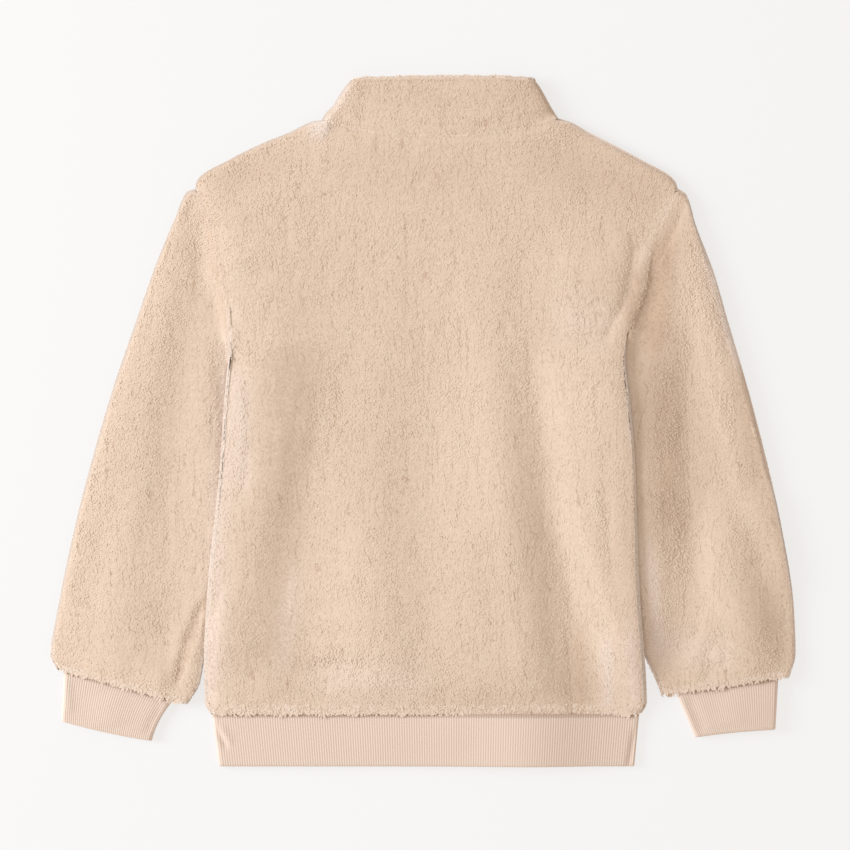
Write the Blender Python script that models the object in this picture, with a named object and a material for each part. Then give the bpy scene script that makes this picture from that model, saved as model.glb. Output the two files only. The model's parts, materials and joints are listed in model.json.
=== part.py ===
"""A sherpa fleece pullover with a stand collar and ribbed hem and cuffs, laid flat with its back up.

Metres, +Z up. The garment rests on z = 0 on its front, with its neck towards +Y and the wearer's left
sleeve towards -X. The origin is under the middle of the whole outline.

Every cut piece is a cloth wall of its own. Pieces meet at their seams 0.3 mm apart. The body's side
edges are lifted over the inner edges of the sleeves, which are tucked a little way under them.
"""

import collections
import math

import bmesh
import bpy
import numpy as np

# Walls. A fleece wall is its knitted ground and its pile together.
FLEECE_WALL = 0.0050
COLLAR_WALL = 0.0080  # two layers of fleece
RIB_WALL = 0.0030  # two layers of rib knit
SEAM_GAP = 0.0003
MOST_HOLLOW = 0.0039  # the widest air gap between two layers laid on each other
LEAST_HOLLOW = 0.0005

# Rolled edges, as seen from above
ROLL = 0.0060
COLLAR_ROLL = 0.0088
RIB_ROLL = 0.0035
ROLL_STEPS = 3

# Ribs of the hem band and the cuffs
RIB_PITCH = 0.0025
RIB_HEIGHT = 0.0007

# The body's side edges over the tucked sleeve edges
TUCK_LIFT = 0.0122  # how high an edge lies while a sleeve is under it
TUCK_FLAT = 0.0080  # the lifted strip, in from the side edge
TUCK_SLOPE = 0.0890  # and the slope from it down to the floor

# Neck
BACK_NECK_DROP = 0.0180
FRONT_NECK_DROP = 0.0480
COLLAR_TOP_BACK_RISE = 0.00225
COLLAR_TOP_FRONT_DROP = 0.0220
NECK_SQUARENESS = 2.6

SHOULDER_LENGTH = 0.150
COLLAR_EDGE_PINCH = 0.30  # how far the collar's top edge is rounded, as a share of its wall

# Smaller shapes
HEM_FLATTENED = 0.0300  # the folds fade out over this height above the hem seam
HEM_ROUND = 0.0110  # the rounded corners of the fleece at the hem
FOLD_TOP_FADE = 0.25  # how far a fold fades before and past its top point, as a share of its length
FOLD_LOW_FADE = 0.15  # and its low point
ARMHOLE_FADE = 0.35  # how far down a sleeve its armhole's curve shows, as a share
ARMHOLE_BLEND = 0.12  # and the thickness that the body has there
CUFF_FADE = 0.15  # a sleeve's folds fade out over this share above the cuff
COLLAR_GROWN = 0.30  # the share of the collar's height by which its wall is fully thick
COLLAR_EDGE = 0.06  # and the share that its rounded top edge takes
LEAST_SLANT = 0.50
SLANT_STEP = 0.02  # how far to each side a slant is measured, as a share of a sleeve
RIB_EDGE = 0.03  # the rounded free edge of a ribbed band, as a share of its height
RIB_EDGE_PINCH = 0.0006

# How finely each piece is divided
BODY_LOW_ROWS = 13
ARMHOLE_ROWS = 8
BACK_SHOULDER_COLUMNS = 7
FRONT_SHOULDER_COLUMNS = 4
NECK_COLUMNS = 6
SLEEVE_ROWS = 14
SLEEVE_EVEN = (0.02, 0.94)  # the shares between which a sleeve's rings are evenly spaced
SLEEVE_END = (0.975, 1.0)
BAND_COLUMNS = 10
COLLAR_SHARES = (0.0, 0.12, 0.3, 0.55, 0.8, 0.94, 0.97, 1.0)
LINE_STEPS = 400
SHARP_DEGREES = 50

# The body's outline from the hem up to the underarm: its two side edges, the thickness of the two
# layers there and how far its sides are lifted, as a share of TUCK_LIFT
BodyRow = collections.namedtuple("BodyRow", "up left right thick lift")
BODY = (
    BodyRow(-0.2925, -0.2140, 0.2200, 0.0098, 0.00),
    BodyRow(-0.2815, -0.2195, 0.2250, 0.0106, 0.00),
    BodyRow(-0.2585, -0.2195, 0.2240, 0.0114, 0.30),
    BodyRow(-0.2185, -0.2185, 0.2202, 0.0118, 1.00),
    BodyRow(-0.1585, -0.2150, 0.2162, 0.0118, 1.00),
    BodyRow(-0.0985, -0.2086, 0.2140, 0.0118, 1.00),
    BodyRow(-0.0385, -0.2026, 0.2120, 0.0118, 1.00),
    BodyRow(0.0215, -0.1988, 0.2070, 0.0120, 0.93),
    BodyRow(0.0615, -0.1952, 0.2030, 0.0122, 0.58),
    BodyRow(0.0865, -0.1930, 0.2047, 0.0124, 0.00),
)
# The armhole seams from the underarm up to the shoulder, as seen from above
ArmholeRow = collections.namedtuple("ArmholeRow", "up left right")
ARMHOLE = (
    ArmholeRow(0.0865, -0.1930, 0.2047),
    ArmholeRow(0.1065, -0.1935, 0.2140),
    ArmholeRow(0.1215, -0.1950, 0.2215),
    ArmholeRow(0.1395, -0.1985, 0.2255),
    ArmholeRow(0.1635, -0.2020, 0.2295),
    ArmholeRow(0.1895, -0.2073, 0.2355),
    ArmholeRow(0.2085, -0.2165, 0.2425),
    ArmholeRow(0.2245, -0.2240, 0.2500),
    ArmholeRow(0.2335, -0.2288, 0.2558),
)
# The shoulder edges from the armhole to the neck: the share of the way along, and each point
ShoulderRow = collections.namedtuple("ShoulderRow", "share left left_up right right_up")
SHOULDER = (
    ShoulderRow(0.00, -0.2288, 0.2335, 0.2558, 0.2335),
    ShoulderRow(0.05, -0.2268, 0.2420, 0.2525, 0.2420),
    ShoulderRow(0.26, -0.1960, 0.2615, 0.2210, 0.2615),
    ShoulderRow(0.50, -0.1670, 0.2765, 0.1930, 0.2765),
    ShoulderRow(0.77, -0.1320, 0.2910, 0.1640, 0.2915),
    ShoulderRow(0.90, -0.1150, 0.2990, 0.1480, 0.3005),
    ShoulderRow(1.00, -0.1010, 0.3015, 0.1360, 0.3040),
)
# Thickness of the two layers above the underarm
ChestRow = collections.namedtuple("ChestRow", "up thick")
CHEST = (
    ChestRow(0.0865, 0.0124),
    ChestRow(0.1500, 0.0128),
    ChestRow(0.2300, 0.0134),
    ChestRow(0.2850, 0.0146),
    ChestRow(0.3100, 0.0146),
)

# Soft folds that run along the upper side: each is a ridge, or a valley where its height is negative,
# from its top to its bottom point
Fold = collections.namedtuple("Fold", "name top_x top_y low_x low_y width height")
BODY_FOLDS = (
    Fold("left chest", -0.165, 0.221, -0.216, 0.072, 0.058, 0.0040),
    Fold("left side roll", -0.147, 0.102, -0.157, -0.280, 0.024, 0.0050),
    Fold("left drape", -0.074, -0.028, -0.021, -0.269, 0.044, 0.0051),
    Fold("middle valley", 0.007, 0.162, -0.005, -0.252, 0.024, -0.0017),
    Fold("middle roll", 0.066, 0.082, 0.125, -0.323, 0.018, 0.0033),
    Fold("middle swell", 0.059, -0.008, 0.083, -0.268, 0.036, 0.0040),
    Fold("low swell", -0.010, -0.118, 0.037, -0.311, 0.062, 0.0030),
    Fold("right chest", 0.184, 0.194, 0.179, -0.018, 0.033, 0.0040),
    Fold("right side roll", 0.107, 0.082, 0.225, -0.222, 0.020, 0.0030),
    Fold("right low roll", 0.132, -0.049, 0.218, -0.281, 0.012, 0.0034),
)
LEFT_SLEEVE_FOLDS = (
    Fold("outer roll", -0.235, 0.226, -0.315, -0.208, 0.022, 0.0037),
    Fold("edge roll", -0.286, 0.094, -0.364, -0.213, 0.017, 0.0027),
    Fold("cuff puff", -0.317, -0.183, -0.320, -0.283, 0.041, 0.0040),
)
RIGHT_SLEEVE_FOLDS = (
    Fold("outer roll", 0.280, 0.166, 0.323, -0.014, 0.016, 0.0060),
    Fold("bright roll", 0.306, -0.106, 0.326, -0.275, 0.020, 0.0060),
    Fold("elbow", 0.320, -0.023, 0.361, -0.163, 0.016, 0.0040),
    Fold("cuff puff", 0.334, -0.192, 0.339, -0.253, 0.015, 0.0017),
)

# The sleeves from the armhole to the cuff seam: the share of the way along, the outer and the inner
# folded edge, and the thickness of the two layers at the edges
SleeveRow = collections.namedtuple("SleeveRow", "share out_x out_y in_x in_y thick")
LEFT_SLEEVE = (
    SleeveRow(0.00, -0.2288, 0.2335, -0.1930, 0.0865, 0.0130),
    SleeveRow(0.02, -0.2360, 0.2310, -0.1939, 0.0800, 0.0128),
    SleeveRow(0.10, -0.2500, 0.2010, -0.1951, 0.0590, 0.0120),
    SleeveRow(0.20, -0.2685, 0.1565, -0.1946, 0.0235, 0.0115),
    SleeveRow(0.30, -0.2850, 0.1095, -0.1925, -0.0125, 0.0115),
    SleeveRow(0.45, -0.3085, 0.0415, -0.1935, -0.0645, 0.0115),
    SleeveRow(0.60, -0.3300, -0.0305, -0.2015, -0.1215, 0.0115),
    SleeveRow(0.75, -0.3490, -0.1035, -0.2130, -0.1755, 0.0115),
    SleeveRow(0.90, -0.3670, -0.1905, -0.2194, -0.2235, 0.0114),
    SleeveRow(0.97, -0.3740, -0.2335, -0.2230, -0.2625, 0.0110),
    SleeveRow(1.00, -0.3680, -0.2465, -0.2350, -0.2825, 0.0104),
)
RIGHT_SLEEVE = (
    SleeveRow(0.00, 0.2558, 0.2335, 0.2047, 0.0865, 0.0130),
    SleeveRow(0.02, 0.2635, 0.2290, 0.2046, 0.0790, 0.0128),
    SleeveRow(0.10, 0.2740, 0.1965, 0.2022, 0.0555, 0.0120),
    SleeveRow(0.20, 0.2920, 0.1495, 0.2013, 0.0195, 0.0115),
    SleeveRow(0.30, 0.3060, 0.1015, 0.2015, -0.0155, 0.0115),
    SleeveRow(0.45, 0.3260, 0.0335, 0.2035, -0.0665, 0.0115),
    SleeveRow(0.60, 0.3440, -0.0355, 0.2075, -0.1195, 0.0115),
    SleeveRow(0.75, 0.3600, -0.1065, 0.2140, -0.1705, 0.0115),
    SleeveRow(0.90, 0.3725, -0.1905, 0.2212, -0.2165, 0.0114),
    SleeveRow(0.97, 0.3740, -0.2335, 0.2290, -0.2545, 0.0110),
    SleeveRow(1.00, 0.3680, -0.2535, 0.2380, -0.2735, 0.0104),
)
# Ribbed bands: two rows of corners each, at the seam and at the free end
BandRow = collections.namedtuple("BandRow", "left_x left_y right_x right_y bow")
HEM_BAND = (
    BandRow(-0.2110, -0.2928, 0.2165, -0.2928, 0.0000),
    BandRow(-0.2045, -0.3455, 0.2115, -0.3455, 0.0000),
)
LEFT_CUFF = (
    BandRow(-0.3595, -0.2491, -0.2500, -0.2787, 0.0000),
    BandRow(-0.3620, -0.3005, -0.2720, -0.3200, -0.0016),
)
RIGHT_CUFF = (
    BandRow(0.2540, -0.2716, 0.3560, -0.2557, 0.0000),
    BandRow(0.2730, -0.3165, 0.3530, -0.3085, 0.0010),
)
# The collar from the neck seam to its top edge
CollarRow = collections.namedtuple("CollarRow", "share left_x left_y right_x right_y thick")
COLLAR = (
    CollarRow(0.00, -0.1010, 0.3015, 0.1360, 0.3040, 0.0146),
    CollarRow(0.30, -0.0915, 0.3150, 0.1285, 0.3155, 0.0165),
    CollarRow(0.75, -0.0800, 0.3335, 0.1185, 0.3335, 0.0168),
    CollarRow(1.00, -0.0720, 0.3430, 0.1115, 0.3435, 0.0160),
)

FLEECE = (0.70, 0.53, 0.40, 1.0)
RIB = (0.76, 0.61, 0.50, 1.0)


# Reading the tables

def column(rows, name):
    return np.array([getattr(row, name) for row in rows])


def along(rows, key, name, at):
    """A column of a table, read smoothly between its rows, with no overshoot past any of them."""
    x = column(rows, key)
    y = column(rows, name)
    step = np.diff(x)
    slope = np.diff(y) / step
    turn = np.concatenate([slope[:1], np.zeros(len(x) - 2), slope[-1:]])
    for k in range(1, len(x) - 1):
        if slope[k - 1] * slope[k] > 0:
            turn[k] = 2 * slope[k - 1] * slope[k] / (slope[k - 1] + slope[k])
    at = np.clip(at, x[0], x[-1])
    k = np.clip(np.searchsorted(x, at) - 1, 0, len(step) - 1)
    t = (at - x[k]) / step[k]
    start = (1 + 2 * t) * (1 - t) ** 2 * y[k] + t * (1 - t) ** 2 * step[k] * turn[k]
    end = t * t * (3 - 2 * t) * y[k + 1] + t * t * (t - 1) * step[k] * turn[k + 1]
    return start + end


def smooth(t):
    t = np.clip(t, 0.0, 1.0)
    return t * t * (3 - 2 * t)


def folds(table, x, y):
    """How much the soft ridges of a table add to the thickness at x, y."""
    total = np.zeros(np.broadcast(x, y).shape)
    for fold in table:
        run = np.array([fold.low_x - fold.top_x, fold.low_y - fold.top_y])
        length = math.hypot(*run)
        run = run / length
        share = ((x - fold.top_x) * run[0] + (y - fold.top_y) * run[1]) / length
        aside = (x - fold.top_x) * run[1] - (y - fold.top_y) * run[0]
        top = smooth((share + FOLD_TOP_FADE) / (2 * FOLD_TOP_FADE))
        low = smooth((1 + FOLD_LOW_FADE - share) / (2 * FOLD_LOW_FADE))
        total += fold.height * top * low * np.exp(-0.5 * (aside / fold.width) ** 2)
    return total


# Places across a flattened tube, from one folded edge to the other: the rolled edges take
# ROLL_STEPS each, and what lies between them is divided evenly.

ROLL_ANGLES = np.linspace(0.0, math.pi / 2, ROLL_STEPS + 1)


def spread(total, middle, roll_start, roll_end):
    """Distances from the first folded edge, as seen from above."""
    start = roll_start * (1 - np.cos(ROLL_ANGLES))
    end = total - roll_end * (1 - np.cos(ROLL_ANGLES[::-1]))
    return np.concatenate([start, np.linspace(start[-1], end[0], middle + 1)[1:-1], end])


def rise(middle):
    """Share of the half thickness gained at each place: 0 at a folded edge, 1 past its roll."""
    up = np.sin(ROLL_ANGLES)
    return np.concatenate([up, np.ones(middle - 1), up[::-1]])


def lean(middle):
    """Share of the wall's thickness that lies sideways at each place, for the first edge."""
    return np.concatenate([np.cos(ROLL_ANGLES), np.zeros(middle + ROLL_STEPS)])


def unit(vectors):
    return vectors / np.maximum(np.linalg.norm(vectors, axis=-1, keepdims=True), 1e-12)


def course(points):
    """Which way a line of points runs at each of them, and the way to its left hand."""
    run = unit(np.gradient(points, axis=0))
    return run, np.stack([-run[:, 1], run[:, 0]], axis=-1)


# The body's heights

def body_thickness(x, y):
    """Both layers and the air between them, with no folds."""
    low = along(BODY, "up", "thick", y)
    return np.where(y < BODY[-1].up, low, along(CHEST, "up", "thick", y))


def body_lift(x, y):
    """How high the front lies off the floor: its side edges ride over the sleeves."""
    aside = np.minimum(x - along(BODY, "up", "left", y), along(BODY, "up", "right", y) - x)
    across = 1 - smooth((aside - TUCK_FLAT) / TUCK_SLOPE)
    lifted = np.where(y < BODY[-1].up, along(BODY, "up", "lift", y), 0.0)
    return TUCK_LIFT * lifted * across


def heights(lift, base, ridge, wall):
    """Levels of a flattened tube: its middle, its top, the top's inside and the wall's thickness."""
    middle = lift + base / 2
    wall = np.minimum(wall, base / 2 - LEAST_HOLLOW / 2)
    top = lift + base + ridge
    inside = np.minimum(top - wall, lift + wall + MOST_HOLLOW)
    return middle, top, inside, wall


def body_heights(x, y):
    lift = body_lift(x, y)
    ridge = folds(BODY_FOLDS, x, y) * smooth((y - BODY[0].up) / HEM_FLATTENED)
    return (lift, *heights(lift, body_thickness(x, y), ridge, FLEECE_WALL))


# The seams that two pieces share, as seen from above

def section(rows, share):
    """A table's row at any share of the way along."""
    names = rows[0]._fields
    return type(rows[0])(*[float(along(rows, "share", name, share)) for name in names])


def slant(rows, share):
    """How far a roll is stretched where a sleeve's section crosses its inner folded edge at a slant."""
    here = section(rows, share)
    before = section(rows, share - SLANT_STEP)
    after = section(rows, share + SLANT_STEP)
    run = unit(np.array([after.in_x - before.in_x, after.in_y - before.in_y]))
    across = unit(np.array([here.out_x - here.in_x, here.out_y - here.in_y]))
    return 1 / max(abs(run[0] * across[1] - run[1] * across[0]), LEAST_SLANT)


def armhole(side, sleeve):
    """Points of an armhole seam, from the underarm to the shoulder."""
    up = np.linspace(ARMHOLE[0].up, ARMHOLE[-1].up, LINE_STEPS)
    line = np.stack([along(ARMHOLE, "up", side, up), up], axis=-1)
    walked = np.concatenate([[0.0], np.cumsum(np.linalg.norm(np.diff(line, axis=0), axis=1))])
    at = spread(walked[-1], ARMHOLE_ROWS, ROLL * slant(sleeve, 0.0), ROLL)
    return np.stack([np.interp(at, walked, line[:, 0]), np.interp(at, walked, up)], axis=-1)


def neck(row, drop, roll):
    """Points across a ring of the collar, from its left to its right folded edge."""
    left = np.array([row.left_x, row.left_y])
    right = np.array([row.right_x, row.right_y])
    width = np.linalg.norm(right - left)
    share = spread(width, NECK_COLUMNS, roll, roll) / width
    points = left + share[:, None] * (right - left)
    points[:, 1] -= drop * (1 - np.abs(2 * share - 1) ** NECK_SQUARENESS)
    return points


def shoulder(side, columns):
    """Points along a shoulder edge, from the armhole to the neck."""
    rolled = ROLL * (1 - np.cos(ROLL_ANGLES)) / SHOULDER_LENGTH
    share = np.concatenate([rolled, np.linspace(rolled[-1], 1.0, columns + 1)[1:]])
    x = along(SHOULDER, "share", side, share)
    y = along(SHOULDER, "share", side + "_up", share)
    return np.stack([x, y], axis=-1)


# Making the walls

def sheet(mesh, points, closed=False):
    """A grid of faces through rows of points, which may close on itself. Returns rows of vertices."""
    rows, columns = points.shape[:2]
    made = bmesh.ops.create_grid(mesh, x_segments=columns - 1, y_segments=rows - 1, size=1.0)
    for vert, point in zip(made["verts"], points.reshape(-1, 3)):
        vert.co = point
    verts = [made["verts"][row * columns : (row + 1) * columns] for row in range(rows)]
    if closed:
        for low, high in zip(verts, verts[1:]):
            mesh.faces.new((low[-1], low[0], high[0], high[-1]))
    return verts


def rim(mesh, outer, inner):
    """The cut edge of a wall, between two closed loops of as many vertices."""
    for k in range(len(outer)):
        mesh.faces.new((outer[k - 1], outer[k], inner[k], inner[k - 1]))


def filled_rim(mesh, outer, inner):
    """The cut edge of a wall, between a finely and a coarsely divided loop."""
    edges = []
    for loop in (outer, inner):
        edges += [mesh.edges.get((loop[k - 1], loop[k])) for k in range(len(loop))]
    bmesh.ops.triangle_fill(mesh, edges=edges, use_beauty=True, use_dissolve=False)


def border(verts):
    """The vertices round the edge of an open sheet, in order."""
    right = [row[-1] for row in verts[1:-1]]
    left = [row[0] for row in verts[1:-1]]
    return verts[0] + right + verts[-1][::-1] + left[::-1]


def panel(name, outer, inner, colour):
    """A wall between two open sheets of the same grid, closed round its cut edge."""
    mesh = bmesh.new()
    rim(mesh, border(sheet(mesh, outer)), border(sheet(mesh, inner)))
    finish(name, mesh, colour)


def tube(name, outer, inner, colour):
    """A wall between two closed sheets, closed at its first and at its last ring."""
    mesh = bmesh.new()
    outside = sheet(mesh, outer, closed=True)
    inside = sheet(mesh, inner, closed=True)
    join = rim if outer.shape[1] == inner.shape[1] else filled_rim
    for end in (0, -1):
        join(mesh, outside[end], inside[end])
    finish(name, mesh, colour)


def finish(name, mesh, colour):
    bmesh.ops.recalc_face_normals(mesh, faces=mesh.faces)
    data = bpy.data.meshes.new(name)
    mesh.to_mesh(data)
    mesh.free()
    data.shade_smooth()
    data.set_sharp_from_angle(angle=math.radians(SHARP_DEGREES))
    piece = bpy.data.objects.new(name, data)
    material = bpy.data.materials.new(name + "_cloth")
    material.use_nodes = True
    shader = material.node_tree.nodes["Principled BSDF"]
    shader.inputs["Base Color"].default_value = colour
    shader.inputs["Roughness"].default_value = 0.95
    shader.inputs["Metallic"].default_value = 0.0
    data.materials.append(material)
    bpy.context.scene.collection.objects.link(piece)


def solid_point(plan, level):
    return np.concatenate([plan, level[..., None]], axis=-1)


def ring(over, under):
    """One closed ring from its upper and its lower half, which share both folded edges."""
    return np.concatenate([over, under[-2:0:-1]])


# The pieces

def body_panel(name, back, columns, drop):
    """The back or the front: a four-sided patch between the hem, both sides and the top edge."""
    hem = BODY[0].up
    up = np.concatenate(
        [[hem, hem + HEM_ROUND / 3], np.linspace(hem + HEM_ROUND, BODY[-1].up, BODY_LOW_ROWS)]
    )
    under = len(up) - 1
    sides = []
    for side, sleeve in (("left", LEFT_SLEEVE), ("right", RIGHT_SLEEVE)):
        low = np.stack([along(BODY, "up", side, up), up], axis=-1)
        sides.append(np.concatenate([low, armhole(side, sleeve)[1:]]))
    left, right = sides
    seam = neck(COLLAR[0], drop, ROLL)
    top = np.concatenate(
        [shoulder("left", columns), seam[1:-1], shoulder("right", columns)[::-1]]
    )
    middle = 2 * columns + 2 * ROLL_STEPS + NECK_COLUMNS
    width = right[0, 0] - left[0, 0]
    u = spread(width, middle, ROLL, ROLL) / width
    bottom = left[0] + u[:, None] * (right[0] - left[0])
    walked = [np.cumsum(np.linalg.norm(np.diff(edge, axis=0), axis=1)) for edge in sides]
    v = np.concatenate([[0.0], sum(way / way[-1] for way in walked) / 2])

    # The patch: what runs across and what runs up, less the straight patch of the four corners
    u, v = u[None, :, None], v[:, None, None]
    across = (1 - u) * left[:, None] + u * right[:, None]
    upward = (1 - v) * bottom[None] + v * top[None]
    low = (1 - u) * left[0] + u * right[0]
    high = (1 - u) * left[-1] + u * right[-1]
    plan = across + upward - (1 - v) * low - v * high
    rightward = unit(np.gradient(plan, axis=1))
    upward = unit(np.gradient(plan, axis=0))

    # Which edges are folded: the sides below the armholes, and the shoulders outside the neck
    rows, wide = plan.shape[:2]
    first = ROLL_STEPS + columns
    last = wide - 1 - first
    side_fold = np.zeros(rows)
    side_fold[: under + 1] = 1.0
    under_fold = np.zeros(rows)
    under_fold[under : under + ROLL_STEPS + 1] = 1 - np.sin(ROLL_ANGLES)
    top_open = np.ones(rows)
    top_open[-ROLL_STEPS - 1 :] = np.sin(ROLL_ANGLES[::-1])
    neck_open = np.zeros(wide)
    neck_open[first : last + 1] = rise(NECK_COLUMNS)
    side_cap = 1 - np.maximum(side_fold, under_fold)[:, None] * (1 - rise(middle))
    cap = side_cap * (1 - (1 - top_open)[:, None] * (1 - neck_open))

    # Back from the seams by half their gap, by all of it where three pieces meet at the neck, and
    # along them where the wall leans
    half = SEAM_GAP / 2
    for edge, line, hand in ((0, left, 1), (-1, right, -1)):
        upward[under:, edge], beside = course(line[under:])
        plan[under:, edge] -= hand * half * beside
    rightward[-1, first : last + 1], beside = course(seam)
    plan[-1, first : last + 1] -= half * beside
    plan[-1, [first, last]] -= half * beside[[0, -1]]

    # The wall's thickness lies sideways at a folded edge
    side_lean = lean(middle)
    under_lean = np.zeros(rows)
    under_lean[under : under + ROLL_STEPS + 1] = np.cos(ROLL_ANGLES)
    top_lean = np.sqrt(1 - top_open**2)
    neck_lean = np.zeros(wide)
    neck_lean[first : last + 1] = lean(NECK_COLUMNS) - lean(NECK_COLUMNS)[::-1]
    shoulders = np.ones(wide)
    shoulders[first : last + 1] = 0.0
    sideways = np.outer(side_fold, side_lean - side_lean[::-1]) + np.outer(top_lean, neck_lean)
    corners = slant(LEFT_SLEEVE, 0.0) * side_lean + slant(RIGHT_SLEEVE, 0.0) * side_lean[::-1]
    endways = np.outer(under_lean, corners) - np.outer(top_lean, shoulders)

    lift, level, above, inside, wall = body_heights(plan[..., 0], plan[..., 1])
    inset = sideways[..., None] * rightward + endways[..., None] * upward
    inner_plan = plan + wall[..., None] * inset
    if back:
        edge = level + half
        outer = edge + (above - edge) * cap
        inner = edge + (inside - edge) * cap
    else:
        edge = level - half
        outer = edge - (edge - lift) * cap
        inner = edge - (edge - lift - wall) * cap
    panel(name, solid_point(plan, outer), solid_point(inner_plan, inner), FLEECE)


def sleeve(name, side, rows, ridges):
    """A flattened tube from the armhole seam to the cuff seam, tucked under the body's side."""
    seam = armhole(side, rows)
    hand = 1 if side == "left" else -1
    shares = np.concatenate([[0.0], np.linspace(*SLEEVE_EVEN, SLEEVE_ROWS), SLEEVE_END])
    lean_in, lean_out = lean(ARMHOLE_ROWS), lean(ARMHOLE_ROWS)[::-1]
    bent = 0.0
    outer, inner = [], []
    for share in shares:
        row = section(rows, share)
        start, end = np.array([row.in_x, row.in_y]), np.array([row.out_x, row.out_y])
        width = np.linalg.norm(end - start)
        stretch = slant(rows, share)
        across = spread(width, ARMHOLE_ROWS, ROLL * stretch, ROLL) / width
        plan = start + across[:, None] * (end - start)
        if share == 0.0:
            bent = seam - plan
        plan = plan + bent * max(0.0, 1 - share / ARMHOLE_FADE) ** 2
        run, beside = course(plan)
        if share == 0.0:
            plan = plan + hand * SEAM_GAP / 2 * beside
        ridge = folds(ridges, plan[:, 0], plan[:, 1]) * smooth((1 - share) / CUFF_FADE)
        own = heights(0.0, np.full(len(plan), row.thick), ridge, FLEECE_WALL)
        shared = body_heights(seam[:, 0], seam[:, 1])[1:]
        mix = smooth(share / ARMHOLE_BLEND)
        level, above, inside, wall = ((1 - mix) * s + mix * o for s, o in zip(shared, own))
        cap = rise(ARMHOLE_ROWS)
        inset = (stretch * lean_in - lean_out)[:, None] * run
        inner_plan = plan + wall[:, None] * inset
        outer.append(
            ring(
                solid_point(plan, level + (above - level) * cap),
                solid_point(plan, level - level * cap),
            )
        )
        inner.append(
            ring(
                solid_point(inner_plan, level + (inside - level) * cap),
                solid_point(inner_plan, level - (level - wall) * cap),
            )
        )
    tube(name, np.array(outer), np.array(inner), FLEECE)


def collar(name):
    """A flattened ring of double fleece, standing from the neck seam, lower in front than behind."""
    outer, inner = [], []
    for share in COLLAR_SHARES:
        row = section(COLLAR, share)
        grown = smooth(share / COLLAR_GROWN)
        wall = FLEECE_WALL + (COLLAR_WALL - FLEECE_WALL) * grown
        roll = ROLL + (COLLAR_ROLL - ROLL) * grown
        back_drop = BACK_NECK_DROP + (-COLLAR_TOP_BACK_RISE - BACK_NECK_DROP) * share
        front_drop = FRONT_NECK_DROP + (COLLAR_TOP_FRONT_DROP - FRONT_NECK_DROP) * share
        halves = []
        for drop in (back_drop, front_drop):
            plan = neck(row, drop, roll)
            shared = body_heights(plan[:, 0], plan[:, 1])[1:]
            own = heights(0.0, np.full(len(plan), row.thick), 0.0, wall)
            level, above, inside, thick = (
                (1 - grown) * s + grown * o for s, o in zip(shared, own)
            )
            run, beside = course(plan)
            if share == 0.0:
                plan = plan + SEAM_GAP / 2 * beside
            inset = (lean(NECK_COLUMNS) - lean(NECK_COLUMNS)[::-1])[:, None] * run
            top_edge = 1 - smooth((1 - share) / COLLAR_EDGE)
            pinch = COLLAR_EDGE_PINCH * top_edge * thick
            halves.append((plan, plan + thick[:, None] * inset, level, above, inside, thick, pinch))
        cap = rise(NECK_COLUMNS)
        back, front = halves
        plan, inner_plan, level, above, inside, thick, pinch = back
        over = solid_point(plan, level + (above - pinch - level) * cap)
        over_in = solid_point(inner_plan, level + (inside + pinch - level) * cap)
        plan, inner_plan, level, above, inside, thick, pinch = front
        under = solid_point(plan, level - (level - pinch) * cap)
        under_in = solid_point(inner_plan, level - (level - thick + pinch) * cap)
        outer.append(ring(over, under))
        inner.append(ring(over_in, under_in))
    tube(name, np.array(outer), np.array(inner), FLEECE)


def rib_band(name, rows):
    """A flattened tube of double rib knit: ribs raised on its upper half, plain below and inside."""
    top = math.dist(rows[0][:2], rows[0][2:4])
    ribs = round((top + (math.pi - 2) * RIB_ROLL) / RIB_PITCH)
    outer, inner = [], []
    for share in (0.0, 1 - RIB_EDGE, 1.0):
        place = [(1 - share) * a + share * b for a, b in zip(rows[0], rows[1])]
        start, end = np.array(place[:2]), np.array(place[2:4])
        width = np.linalg.norm(end - start)
        pinch = RIB_EDGE_PINCH if share == 1.0 else 0.0
        walked = np.linspace(0.0, width + (math.pi - 2) * RIB_ROLL, 2 * ribs + 1)
        turn = np.clip(walked / RIB_ROLL, 0.0, math.pi / 2)
        back_turn = np.clip((walked[-1] - walked) / RIB_ROLL, 0.0, math.pi / 2)
        flat = walked - RIB_ROLL * math.pi / 2
        across = np.where(turn < math.pi / 2, RIB_ROLL * (1 - np.cos(turn)), RIB_ROLL + flat)
        across = np.where(
            back_turn < math.pi / 2, width - RIB_ROLL * (1 - np.cos(back_turn)), across
        )
        crest = RIB_HEIGHT * (np.arange(2 * ribs + 1) % 2)
        bulge = np.sin(np.minimum(turn, back_turn))
        out = np.where(turn < back_turn, -1.0, 1.0) * np.sqrt(1 - bulge**2)
        level = RIB_ROLL + (RIB_ROLL + crest - pinch) * bulge
        over = band_points(start, end, across + crest * out, level, place[4])
        plain = spread(width, BAND_COLUMNS, RIB_ROLL, RIB_ROLL)
        cap = rise(BAND_COLUMNS)
        under = band_points(start, end, plain, RIB_ROLL - (RIB_ROLL - pinch) * cap, place[4])
        side = lean(BAND_COLUMNS) - lean(BAND_COLUMNS)[::-1]
        core = (RIB_ROLL - RIB_WALL + pinch) * cap
        inside = [
            band_points(start, end, plain + RIB_WALL * side, RIB_ROLL + level, place[4])
            for level in (core, -core)
        ]
        outer.append(ring(over, under))
        inner.append(ring(*inside))
    tube(name, np.array(outer), np.array(inner), RIB)


def band_points(start, end, across, level, bow):
    width = np.linalg.norm(end - start)
    share = across / width
    plan = start + share[:, None] * (end - start)
    plan[:, 1] += bow * 4 * share * (1 - share)
    return solid_point(plan, level)


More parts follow.
